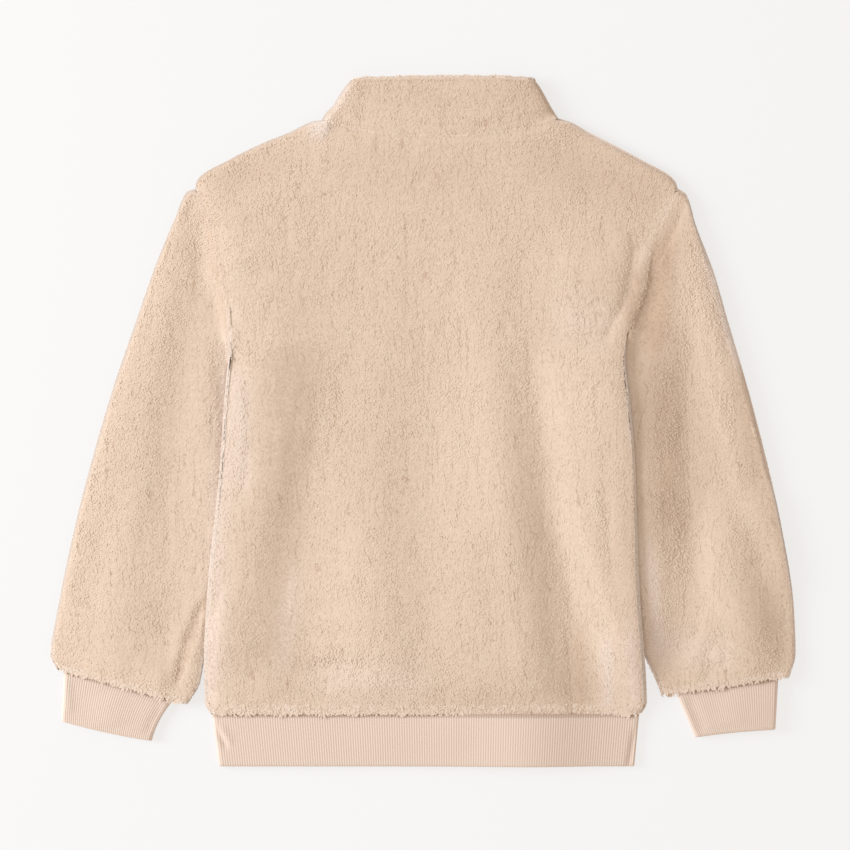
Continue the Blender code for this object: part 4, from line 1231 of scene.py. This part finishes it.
def tones(place, way):
    """How steep the cloth is, how much painted highlight its pile gets, and how much painted shade."""
    steep = smooth((STEEP_FROM - way[:, 2]) / (STEEP_FROM - STEEP_FULL))
    # The table's positive strokes paint a highlight, its negative strokes paint shade; steep edges get a
    # painted highlight too.
    painted_light = folds(PAINTED_LIGHT_AND_SHADE, place[:, 0], place[:, 1]) * smooth(way[:, 2] / FACING_UP)
    return steep, np.clip(STEEP_HIGHLIGHT * steep + painted_light, 0.0, 1.0), np.clip(-painted_light, 0.0, 1.0)


def upturned(way, more):
    """The way the cloth faces, turned further up."""
    share = smooth((way[:, 2] - TURNED_FROM) / (TURNED_FULL - TURNED_FROM))
    face = way.copy()
    face[:, 2] += share * more
    return unit(face)


def covered(root):
    """Whether a place on a sleeve lies below the body's side."""
    x, y = root[:, 0], root[:, 1]
    inside = (x > along(BODY, "up", "left", y)) & (x < along(BODY, "up", "right", y))
    return inside & (y < BODY[-1].up)


# Where the cloth faces up by less, its pile is painted paler, a painted highlight.
print("pile opens where the cloth faces up by less than", STEEP_FROM)

# %% [markdown]
# Each lock has a size and a shade of its own, a little more or less than its neighbours'. Longer and
# paler locks also come in loose groups, as they do where a pile has been brushed.

# %% Locks on a surface
LOCK_LENGTH, LOCK_WIDTH, LOCK_TILT = 0.0026, 0.0018, 80.0  # the tilt in degrees from upright
LOCK_SWELL = Swell(1.00, 0.0090, 14, 2.0)
LENGTH_SWELL, LENGTH_SCATTER, LENGTH_LIMITS = 0.15, 0.14, (0.6, 1.5)
WIDTH_LIMITS = 0.75, 1.3
TILT_SCATTER, STEEP_TILT, TILT_LIMITS = 5, 6, (0.6, 1.52)
STEEP_SHORTER, STEEP_NARROWER = 0.35, 0.30
LEAST_FACE = 0.60  # how far up a lock's cloth faces at least
LIT_UP = 9.0
SHADE, SHADE_SWELL, SHADE_SCATTER = 0.5, 0.12, 0.22
Locks = namedtuple("Locks", "root way face lay length width tilt shade airy laid")


def surface_locks(points, way, closed, down, rng, tucked=False):
    """Locks all over a cloth. A tucked cloth has none below the body's sides."""
    root, faces = scatter(points, way, closed, rng)
    if tucked:
        seen = ~covered(root)
        root, faces = root[seen], faces[seen]
    face = upturned(faces, np.maximum(LEAST_FACE - faces[:, 2], 0.0))
    lay = leaning(root, face, down, rng)
    count = len(root)
    swell = swells(LOCK_SWELL, root[:, 0], root[:, 1])
    length = 1 + LENGTH_SWELL * swell + LENGTH_SCATTER * rng.normal(size=count)
    width = LOCK_WIDTH * rng.uniform(*WIDTH_LIMITS, count)
    steep, airy, laid = tones(root, faces)
    tilt = np.radians(LOCK_TILT + TILT_SCATTER * rng.normal(size=count) + STEEP_TILT * steep)
    length = LOCK_LENGTH * length.clip(*LENGTH_LIMITS) * (1 - STEEP_SHORTER * steep)
    width = width * (1 - STEEP_NARROWER * steep)
    shade = (SHADE + SHADE_SCATTER * rng.normal(size=count) + SHADE_SWELL * swell).clip(0.0, 1.0)
    lit = upturned(faces, LIT_UP * steep)
    return Locks(root, lit, face, lay, length, width, tilt.clip(*TILT_LIMITS), shade, airy, laid)


print("a lock is", LOCK_LENGTH * 1000, "mm long and", LOCK_WIDTH * 1000, "mm wide, more or less")

# %% [markdown]
# Light sinks into real pile and comes out again, so a lock has no hard bright and dark side. A two-faced
# leaf would have both. Each point of a lock is therefore given the cloth's own normal, turned only a
# little towards the leaf's: the shading then follows the folds, and the locks only soften it. Where
# the pile has its painted highlight it is turned even less.

# %% Building locks
TURN_SCATTER, CURL_SCATTER = 0.30, 0.35
LEAST_BEND, LARGEST_BEND, MOST_BENT = 0.1, 0.5, 1.6  # radians
LOWER_PART, UPPER_PART = 0.55, 0.50  # of the length, below and above the bend
ROOT_SUNK = 0.0001
LEAST_LEVEL = 0.0001  # no lock reaches into the floor
TIP_SHARES = [0.0, 0.6, 1.0, 0.6]  # root, one side, tip, other side
ROOT_ROLLED, SIDE_ROLLED, TIP_ROLLED = -0.3, 0.7, 0.7
OWN_NORMAL, HIGHLIGHT_SOFTER = 0.15, 0.8


def leaves(locks, rng):
    """The four points of each lock, and how far its own normals turn from the cloth's."""
    length, width, tilt = (values[:, None] for values in (locks.length, locks.width, locks.tilt))
    lay, shape = locks.lay, (len(locks.root), 1)
    turn = rng.normal(0.0, TURN_SCATTER, shape)
    low = locks.face * np.cos(tilt) + lay * np.sin(tilt)
    side = unit(unit(np.cross(locks.face, lay)) * np.cos(turn) + lay * np.sin(turn))
    bent = np.minimum(tilt + rng.uniform(LEAST_BEND, LARGEST_BEND, shape), MOST_BENT)
    onward = unit(lay + side * rng.normal(0.0, CURL_SCATTER, shape))
    high = locks.face * np.cos(bent) + onward * np.sin(bent)
    base = locks.root - locks.face * ROOT_SUNK
    middle = base + low * length * LOWER_PART
    tip = middle + high * length * UPPER_PART
    half = side * width / 2
    corners = np.stack([base, middle + half, tip, middle - half], axis=1)
    corners[..., 2] = np.maximum(corners[..., 2], LEAST_LEVEL)
    rolled = [lay * ROOT_ROLLED, side * SIDE_ROLLED, lay * TIP_ROLLED, side * -SIDE_ROLLED]
    return corners, np.stack(rolled, axis=1)


def pile(name, groups, rng):
    """One mesh of all the locks in several groups, four points and two faces for each."""
    locks = Locks(*(np.concatenate(parts) for parts in zip(*groups)))
    corners, rolled = leaves(locks, rng)
    count = len(locks.root)
    first = 4 * np.arange(count)[:, None]
    faces = (first + [0, 3, 1]).tolist() + (first + [1, 3, 2]).tolist()
    data = bpy.data.meshes.new(name)
    data.from_pydata(corners.reshape(-1, 3).tolist(), [], faces)
    remember(data, "tip", np.tile(TIP_SHARES, count))
    for label in ("shade", "airy", "laid"):
        remember(data, label, np.repeat(getattr(locks, label), 4))
    piece = placed(name, data)
    own = OWN_NORMAL * (1 - HIGHLIGHT_SOFTER * locks.airy)[:, None, None]
    soft = unit(locks.way[:, None] + own * rolled)
    data.normals_split_custom_set_from_vertices(soft.reshape(-1, 3).tolist())
    print(name, count, "locks,", 2 * count, "triangles")
    return piece


print("a lock bends over by", LEAST_BEND, "to", LARGEST_BEND, "radians")

# %% [markdown]
# Along a cut edge nothing holds the pile back, so it spills over: the body's hem and the sleeves' ends
# hang a ragged fringe of longer locks over the ribbed bands, and the collar's top edge bristles. A
# fringe is a few rows of locks along one edge of a grid, longer and shorter in uneven scallops.
#
# The same makes a tuft at each underarm, where the pile of the body's side closes over the end of the
# armhole seam.

# %% Fringes
Fringe = namedtuple("Fringe", "per_metre length tilt spread_back seed")
HEM_FRINGE = Fringe(4200, 0.0040, 85, 0.0120, 31)
FRONT_FRINGE = Fringe(800, 0.0040, 84, 0.0040, 41)
SLEEVE_FRINGE = Fringe(2800, 0.0038, 84, 0.0080, 51)
COLLAR_FRINGE = Fringe(2600, 0.0019, 66, 0.0030, 61)
TUFT = Fringe(9000, 0.0034, 88, 0.0020, 71)
TUFT_RAISED = 0.0008
FINE_SCALLOP, FINE_SCALLOP_SIZE = 0.35, 0.0060
BROAD_SCALLOP, BROAD_SCALLOP_SIZE = 0.40, 0.0170
DRIFT, DRIFT_SIZE, DRIFT_SCATTER = 0.3, 0.0060, 0.18
FRINGE_LENGTHS = 0.65, 1.2
FRINGE_WIDTH, FRINGE_WIDTHS = 0.0024, (0.7, 1.3)
FRINGE_TILT_SCATTER = 4
FRINGE_SHADES = 0.1, 0.7
# painted highlight on every lock of a fringe
FRINGE_HIGHLIGHT = 0.35


def fringe(kind, line, way, outward, rng):
    """Locks along a line of points, which hang outwards from it."""
    steps = np.linalg.norm(np.diff(line, axis=0), axis=1)
    walked = np.concatenate([[0.0], np.cumsum(steps)])
    count = int(walked[-1] * kind.per_metre)
    at = rng.uniform(0.0, walked[-1], count)

    def read(values):
        return np.stack([np.interp(at, walked, values[:, k]) for k in range(3)], -1)

    face, out = unit(read(way)), unit(read(outward))
    root = read(line) - out * rng.uniform(0.0, kind.spread_back, (count, 1))
    scallop = 1 + FINE_SCALLOP * noise(at, 0.0, FINE_SCALLOP_SIZE, kind.seed)
    scallop += BROAD_SCALLOP * noise(at, 0.0, BROAD_SCALLOP_SIZE, kind.seed + 1)
    drift = DRIFT * noise(at, 0.0, DRIFT_SIZE, kind.seed + 2)[:, None]
    drift += rng.normal(0.0, DRIFT_SCATTER, (count, 1))
    lay = unit(out + unit(np.cross(face, out)) * drift)
    length = kind.length * scallop * rng.uniform(*FRINGE_LENGTHS, count)
    width = FRINGE_WIDTH * rng.uniform(*FRINGE_WIDTHS, count)
    tilt = np.radians(kind.tilt + FRINGE_TILT_SCATTER * rng.normal(size=count))
    shade = rng.uniform(*FRINGE_SHADES, count)
    airy = np.full(count, FRINGE_HIGHLIGHT)
    return Locks(root, face, face, lay, length, width, tilt, shade, airy, np.zeros(count))


def edge_of(points, way, row, inwards):
    """One row of a grid as a fringe's line, and which way is outwards from it."""
    return points[row], way[row], unit(points[row] - points[inwards])


def underarm_tuft(column, out, reach, rng):
    """Locks over the side of the back, close to the underarm."""
    rows = np.abs(back_points[:, column, 1] - BODY[-1].up) < reach
    line = back_points[rows, column] + np.array([0.0, 0.0, TUFT_RAISED])
    way = np.tile([0.0, 0.0, 1.0], (len(line), 1))
    outward = np.tile(unit(np.array([*out, 0.0])), (len(line), 1))
    return fringe(TUFT, line, way, outward, rng)


print("the hem's fringe is about", HEM_FRINGE.length * 1000, "mm long")

# %% [markdown]
# Now every fleece gets its pile. Locks lie down the garment on the body and the collar, and down each
# sleeve on the sleeves. One generator with a fixed seed draws everything, in this order.

# %% Piles
DOWN = (0.0, -1.0)
DOWN_THE_SLEEVE = {"left": (-0.25, -0.97), "right": (0.20, -0.98)}
Tuft = namedtuple("Tuft", "column out reach")
TUFTS = Tuft(0, (-1.0, -0.3), 0.028), Tuft(-1, (1.0, -0.3), 0.006)

rng = np.random.default_rng(7)
edge = fringe(HEM_FRINGE, *edge_of(back_points, back_way, 0, 3), rng)
grown = surface_locks(back_points, back_way, False, DOWN, rng)
tufts = [underarm_tuft(*tuft, rng) for tuft in TUFTS]
back_pile = pile("back-pile", [grown, edge, *tufts], rng)
edge = fringe(FRONT_FRINGE, *edge_of(front_points, front_way, 0, 3), rng)
grown = surface_locks(front_points, front_way, False, DOWN, rng)
front_pile = pile("front-pile", [grown, edge], rng)
sleeve_piles = {}
for side, (piece, points, way) in sleeves.items():
    edge = fringe(SLEEVE_FRINGE, *edge_of(points, way, -1, -4), rng)
    grown = surface_locks(points, way, True, DOWN_THE_SLEEVE[side], rng, tucked=True)
    sleeve_piles[side] = pile("sleeve-pile-" + side, [grown, edge], rng)
edge = fringe(COLLAR_FRINGE, *edge_of(collar_points, collar_way, -1, -6), rng)
grown = surface_locks(collar_points, collar_way, True, DOWN, rng)
collar_pile = pile("collar-pile", [grown, edge], rng)

# %% [markdown]
# ## Shader maths
#
# A material is a small network of nodes. Written as nodes and links it is hard to read, so one class
# wraps an output socket and lets ordinary Python arithmetic add the Math nodes. Any other node comes
# from its `node` method.

# %% A socket that Python can reckon with
class Wire:
    def __init__(self, socket):
        self.socket = socket

    def node(self, kind, settings=None, inputs=None, output=0):
        """Adds a node: its settings first, then a value or a link for each socket."""
        tree = self.socket.id_data
        made = tree.nodes.new("ShaderNode" + kind)
        for name, value in (settings or {}).items():
            if name == "stops":
                while len(made.color_ramp.elements) < len(value):
                    made.color_ramp.elements.new(0.5)
                for stop, (place, colour) in zip(made.color_ramp.elements, value):
                    stop.position, stop.color = place, colour
            else:
                setattr(made, name, value)
        for name, value in (inputs or {}).items():
            if isinstance(value, Wire):
                tree.links.new(value.socket, made.inputs[name])
            else:
                made.inputs[name].default_value = value
        return Wire(made.outputs[output])

    def maths(self, operation, *values):
        """A Math node of these values, added to the same material."""
        return self.node("Math", {"operation": operation}, dict(enumerate(values)))

    def __add__(self, other):
        return self.maths("ADD", self, other)

    def __sub__(self, other):
        return self.maths("SUBTRACT", self, other)

    def __rsub__(self, other):
        return self.maths("SUBTRACT", other, self)

    def __mul__(self, other):
        return self.maths("MULTIPLY", self, other)

    def __pow__(self, other):
        return self.maths("POWER", self, other)

    __radd__, __rmul__ = __add__, __mul__

    def mix(self, low, high):
        """A colour between two, by this value."""
        return self.node("Mix", {"data_type": "RGBA"}, {0: self, 6: low, 7: high}, output=2)

    def clouds(self, scale, detail=2.0, stretch=(1.0, 1.0, 1.0)):
        """Noise from about 0 to 1 at this place, scale swells to the metre."""
        place = self.node("Mapping", {}, {"Vector": self, "Scale": stretch})
        return place.node("TexNoise", {}, {"Vector": place, "Scale": scale, "Detail": detail})

    def bump(self, distance):
        """Normals as if this value raised the surface, by up to so many metres."""
        return self.node("Bump", {}, {"Height": self, "Distance": distance, "Strength": 1.0})

    def remembered(self, name, output=2):
        """What each point of the mesh remembers by this name: a value, or a vector at output 1."""
        return self.node("Attribute", {"attribute_name": name}, {}, output)


ROUGHNESS, SPECULAR = 0.92, 0.12
SHEEN_ROUGHNESS, SHEEN_TINT = 0.5, (1.0, 0.93, 0.88, 1.0)


def cloth(name, sheen):
    """A matt cloth material, its shader and its object coordinates."""
    material = bpy.data.materials.new(name)
    material.use_nodes = True
    nodes = material.node_tree.nodes
    shader = nodes["Principled BSDF"]
    shader.inputs["Roughness"].default_value = ROUGHNESS
    shader.inputs["Specular IOR Level"].default_value = SPECULAR
    shader.inputs["Sheen Weight"].default_value = sheen
    shader.inputs["Sheen Roughness"].default_value = SHEEN_ROUGHNESS
    shader.inputs["Sheen Tint"].default_value = SHEEN_TINT
    return material, shader, Wire(nodes.new("ShaderNodeTexCoord").outputs["Object"])


def plug(wire, shader, socket):
    """Links a wire to one of the shader's sockets."""
    wire.socket.id_data.links.new(wire.socket, shader.inputs[socket])


print("every cloth is matt, with a roughness of", ROUGHNESS)

# %% [markdown]
# ## Fleece
#
# Two materials make the fleece. The ground is what shows in the partings: a darker, warmer sand, partly
# its own colour and partly painted shade deep in the pile, with a fine bump like matted fibre. A lock is
# dark at its root, where little light reaches, and palest at its tip, and no two locks are quite the same
# shade.

# %% Colours of the fleece
SAND_DEEP = (0.700, 0.530, 0.400, 1.0)
SAND = (0.780, 0.610, 0.480, 1.0)
LOCK_ROOT = (0.750, 0.575, 0.435, 1.0)
LOCK_TIP = (0.845, 0.688, 0.560, 1.0)
LOCK_TIP_WARM = (0.795, 0.622, 0.484, 1.0)
# The next two are the painted highlight's tone and the painted shade's tone.
PAINTED_HIGHLIGHT_TONE = (0.870, 0.735, 0.645, 1.0)
PAINTED_SHADE_TONE = (0.640, 0.470, 0.340, 1.0)
PARTING = (0.560, 0.390, 0.270, 1.0)
tip_lightness = sum(LOCK_TIP[:3]) / sum(LOCK_ROOT[:3])
print("a lock's tip is", round(tip_lightness, 2), "times as light as its root")

# %% [markdown]
# The finest partings are narrower than a lock, so geometry can't make them and the colour does. They
# are upright lines set side by side, swayed by slow and quick noise, which show in loose flocks only.

# %% Hairlines
HAIRLINE_SPACING = 0.0065
HAIRLINE_WIDTH = 0.085  # of the spacing, on each side
SLOW_SWAY, QUICK_SWAY = (55.0, 4.0), (330.0, 0.5)  # swells to the metre, and reach in spacings
SWAY_STRETCH = (1.0, 0.5, 1.0)
FLOCKS, FLOCK_STRETCH = 85.0, (1.0, 0.40, 1.0)
FLOCK_FROM, FLOCK_FULL = 0.48, 0.57
ON_GROUND, ON_LOCKS = 0.75, 0.85  # how dark the lines are


def hairlines(place):
    """Short upright partings in loose flocks: 1 along the middle of each line, 0 on the cloth."""
    x = place.node("SeparateXYZ", {}, {"Vector": place})
    slow = place.clouds(SLOW_SWAY[0], 2.0, SWAY_STRETCH) * SLOW_SWAY[1]
    quick = place.clouds(QUICK_SWAY[0], 2.0, SWAY_STRETCH) * QUICK_SWAY[1]
    sway = slow + quick
    phase = x * (1 / HAIRLINE_SPACING) + sway
    line = phase.maths("PINGPONG", phase, 0.5)
    flock = place.clouds(FLOCKS, 1.0, FLOCK_STRETCH)
    reach = {"Value": flock, "From Min": FLOCK_FROM, "From Max": FLOCK_FULL}
    here = flock.node("MapRange", {}, reach)
    reach = {"Value": line, "From Min": 0.0, "From Max": HAIRLINE_WIDTH}
    return here * (1 - line.node("MapRange", {}, reach))


def painted_and_parted(colour, place, airy, laid, depth):
    """A fleece colour with its painted highlight and painted shade, and darker in the hairlines."""
    colour = laid.mix(airy.mix(colour, PAINTED_HIGHLIGHT_TONE), PAINTED_SHADE_TONE)
    return (hairlines(place) * (1 - airy) * depth).mix(colour, PARTING)


print("hairlines are about", HAIRLINE_SPACING * 1000, "mm apart")

# %% [markdown]
# The ground's colour drifts in small clumps and in patches as wide as a palm. A lock's colour rises
# from root to tip, and fine noise breaks it up, because the real lock is made of many fibres.

# %% Fleece ground and pile
CLUMP_SHARE, PATCH_SHARE = 0.7, 0.3
RAISED_CLUMPS, RAISED_FIBRES, FLEECE_RAISED = 0.6, 0.4, 0.0006
TIP_POWER, TIP_SHARE = 1.6, 0.55
GRAIN_SHARE, GRAIN_LOWERED = 1.3, 0.40

ground, shader, place = cloth("sherpa_ground", 0.20)
clumps = place.clouds(260.0, 3.0, (1.0, 0.45, 1.0))
patches = place.clouds(16.0, 2.0, (1.0, 0.6, 1.0))
sand = (clumps * CLUMP_SHARE + patches * PATCH_SHARE).mix(SAND_DEEP, SAND)
airy = place.remembered("airy")
laid = place.remembered("laid")
plug(painted_and_parted(sand, place, airy, laid, ON_GROUND), shader, "Base Color")
fibre = place.clouds(900.0, 3.0)
raised = clumps * RAISED_CLUMPS + fibre * RAISED_FIBRES
plug(raised.bump(FLEECE_RAISED), shader, "Normal")

locks, shader, place = cloth("sherpa_locks", 0.50)
tip = place.remembered("tip")
shade = place.remembered("shade")
airy = place.remembered("airy")
pale = shade.mix(LOCK_TIP_WARM, LOCK_TIP)
grain = place.clouds(820.0, 2.0, (1.0, 0.6, 1.0))
laid = place.remembered("laid")
bright = tip**TIP_POWER * TIP_SHARE + grain * GRAIN_SHARE - GRAIN_LOWERED
plug(painted_and_parted(bright.mix(LOCK_ROOT, pale), place, airy, laid, ON_LOCKS), shader, "Base Color")
print("the ground is made of", len(ground.node_tree.nodes), "nodes, a lock of", len(locks.node_tree.nodes))

# %% [markdown]
# A cloth also remembers its painted highlight and painted shade, so that what shows between the
# locks has their tone. On a steep edge it is lit from above, as its locks are.

# %% Fleece on the cloths and piles
cloths = (back, front, collar, sleeves["left"][0], sleeves["right"][0])
piles = (back_pile, front_pile, collar_pile, *sleeve_piles.values())
for piece in cloths:
    piece.data.materials.append(ground)
    places = np.array([vertex.co for vertex in piece.data.vertices])
    way = np.array([vertex.normal for vertex in piece.data.vertices])
    steep, airy, laid = tones(places, way)
    remember(piece.data, "airy", airy)
    remember(piece.data, "laid", laid)
    piece.data.normals_split_custom_set_from_vertices(upturned(way, LIT_UP * steep).tolist())
for piece in piles:
    piece.data.materials.append(locks)
print("fleece is on", len(cloths), "cloths and", len(piles), "piles")

# %% [markdown]
# ## Rib knit
#
# Between two ribs the knit is purled and lies deeper, and its colour there is a little darker, a painted
# shade. Just below its seam a band is darkened further, a painted shadow of the fringe that hangs over it.
# Along each rib run small stitches, about one and a half millimetres long, which the bump raises. All
# follow the rib and height that each point of a band remembers.

# %% Rib knit
RIB_CREST = (0.812, 0.652, 0.553, 1.0)
RIB_VALLEY = (0.715, 0.556, 0.456, 1.0)
RIB_SHADED = (0.430, 0.300, 0.220, 1.0)
STITCH = 0.0015
CREST_SHARE, FLUFF_SHARE, FLUFF_LOWERED = 0.75, 0.35, 0.05
RAISED_CREST, RAISED_STITCH, RAISED_FLUFF, RIB_RAISED = 0.5, 0.2, 0.3, 0.00025
SHADED_FROM, SHADED_TO = 0.0020, 0.0048  # how far below its seam a band lies in the fringe's shade
MOST_SHADED = 0.6

rib_knit, shader, place = cloth("rib_knit", 0.15)
knit = place.remembered("knit", output=1)
across = knit.node("SeparateXYZ", {}, {"Vector": knit})
height = Wire(across.socket.node.outputs["Y"])
rib_turn = across * (2 * math.pi)
stitch_turn = height * (2 * math.pi / STITCH)
crest = 0.5 - rib_turn.maths("COSINE", rib_turn) * 0.5
stitch = stitch_turn.maths("SINE", stitch_turn) * 0.5 + 0.5
fluff = place.clouds(700.0, 2.0)
tone = crest * CREST_SHARE + fluff * FLUFF_SHARE - FLUFF_LOWERED
reach = {"Value": height, "From Min": SHADED_FROM, "From Max": SHADED_TO}
shaded = height.node("MapRange", {}, {**reach, "To Min": MOST_SHADED, "To Max": 0.0})
plug(shaded.mix(tone.mix(RIB_VALLEY, RIB_CREST), RIB_SHADED), shader, "Base Color")
raised = crest * RAISED_CREST + crest * stitch * RAISED_STITCH + fluff * RAISED_FLUFF
plug(raised.bump(RIB_RAISED), shader, "Normal")
bands = (hem_band, left_cuff, right_cuff)
for piece in bands:
    piece.data.materials.append(rib_knit)
print("rib knit is on", len(bands), "bands")

# %% [markdown]
# ## The size each piece is cut to
#
# Each sheet's cut size and area are printed: for a tube that is its whole cut, unrolled.

# %% Cut sizes
HEM_AREA = 0.87 * 0.053  # of the bands, from their outlines, in square metres
LEFT_CUFF_AREA, RIGHT_CUFF_AREA = 0.0105, 0.0095


def declare(piece, width, length, area):
    """Prints what a piece is cut from, and its area."""
    print(piece.name, "is cut from", width, "by", length, "m, area", round(area, 4))


declare(front, 0.450, 0.600, surface_area(front_outer))
declare(back, 0.490, 0.600, surface_area(back_outer))
for side in ("left", "right"):
    piece, points, way = sleeves[side]
    declare(piece, 0.350, 0.470, surface_area(points, True))
declare(collar, 0.480, 0.080, surface_area(collar_points, True))
declare(hem_band, 0.870, 0.054, HEM_AREA)
declare(left_cuff, 0.230, 0.053, LEFT_CUFF_AREA)
declare(right_cuff, 0.210, 0.053, RIGHT_CUFF_AREA)

# %% [markdown]
# ## Floor and light
#
# The garment lies on a light table: a plain grey floor that glows nearly white, so that the shadows on
# it stay faint. It is set a hair lower than the cloth, so that the two never share a plane.

# %% Light table
FLOOR_TONE = (0.20, 0.20, 0.20, 1.0)
FLOOR_GLOW = 0.72
FLOOR_GLOW_TONE = (1.0, 0.985, 0.975, 1.0)
FLOOR_SIZE = 6.0
FLOOR_LOWERED = 0.0004

mesh = bmesh.new()
bmesh.ops.create_grid(mesh, x_segments=1, y_segments=1, size=FLOOR_SIZE / 2)
floor_data = bpy.data.meshes.new("floor")
mesh.to_mesh(floor_data)
mesh.free()
floor = bpy.data.objects.new("floor", floor_data)
floor.location.z = -FLOOR_LOWERED
bpy.context.scene.collection.objects.link(floor)
paper, shader, place = cloth("paper", 0.0)
shader.inputs["Base Color"].default_value = FLOOR_TONE
shader.inputs["Emission Color"].default_value = FLOOR_GLOW_TONE
shader.inputs["Emission Strength"].default_value = FLOOR_GLOW
floor_data.materials.append(paper)
print("the light table is", FLOOR_SIZE, "m square")

# %% [markdown]
# One large lamp on the left, low enough to rake the folds, gives the cloth its form. It is a little
# cool, and the sky that fills the shadows a little warm.

# %% Lamp and sky
KEY_PLACE = Vector((-3.46, 0.53, 1.56))
KEY_SIZE, KEY_POWER = 1.9, 158.0
KEY_TONE = (0.84, 0.915, 1.0)
SKY_TONE, SKY_STRENGTH = (1.0, 0.93, 0.86, 1.0), 0.72

key_data = bpy.data.lights.new("key", "AREA")
key_data.shape = "DISK"
key_data.size = KEY_SIZE
key_data.energy = KEY_POWER
key_data.color = KEY_TONE
key = bpy.data.objects.new("key", key_data)
key.location = KEY_PLACE
key.rotation_euler = (-KEY_PLACE).to_track_quat("-Z", "Y").to_euler()
bpy.context.scene.collection.objects.link(key)
world = bpy.data.worlds.new("studio")
bpy.context.scene.world = world
world.use_nodes = True
sky = world.node_tree.nodes["Background"]
sky.inputs["Color"].default_value = SKY_TONE
sky.inputs["Strength"].default_value = SKY_STRENGTH
bpy.context.scene.view_settings.view_transform = "Standard"
print("the lamp stands", round(KEY_PLACE.length, 2), "m away")

# %% [markdown]
# ## Sizes, and the end
#
# The dressed garment may stand a little proud of its solids, because the pile does.

# %% Boxes
def corners(box):
    """A box's two corners as plain numbers."""
    return [[round(value, 5) for value in corner] for corner in box]
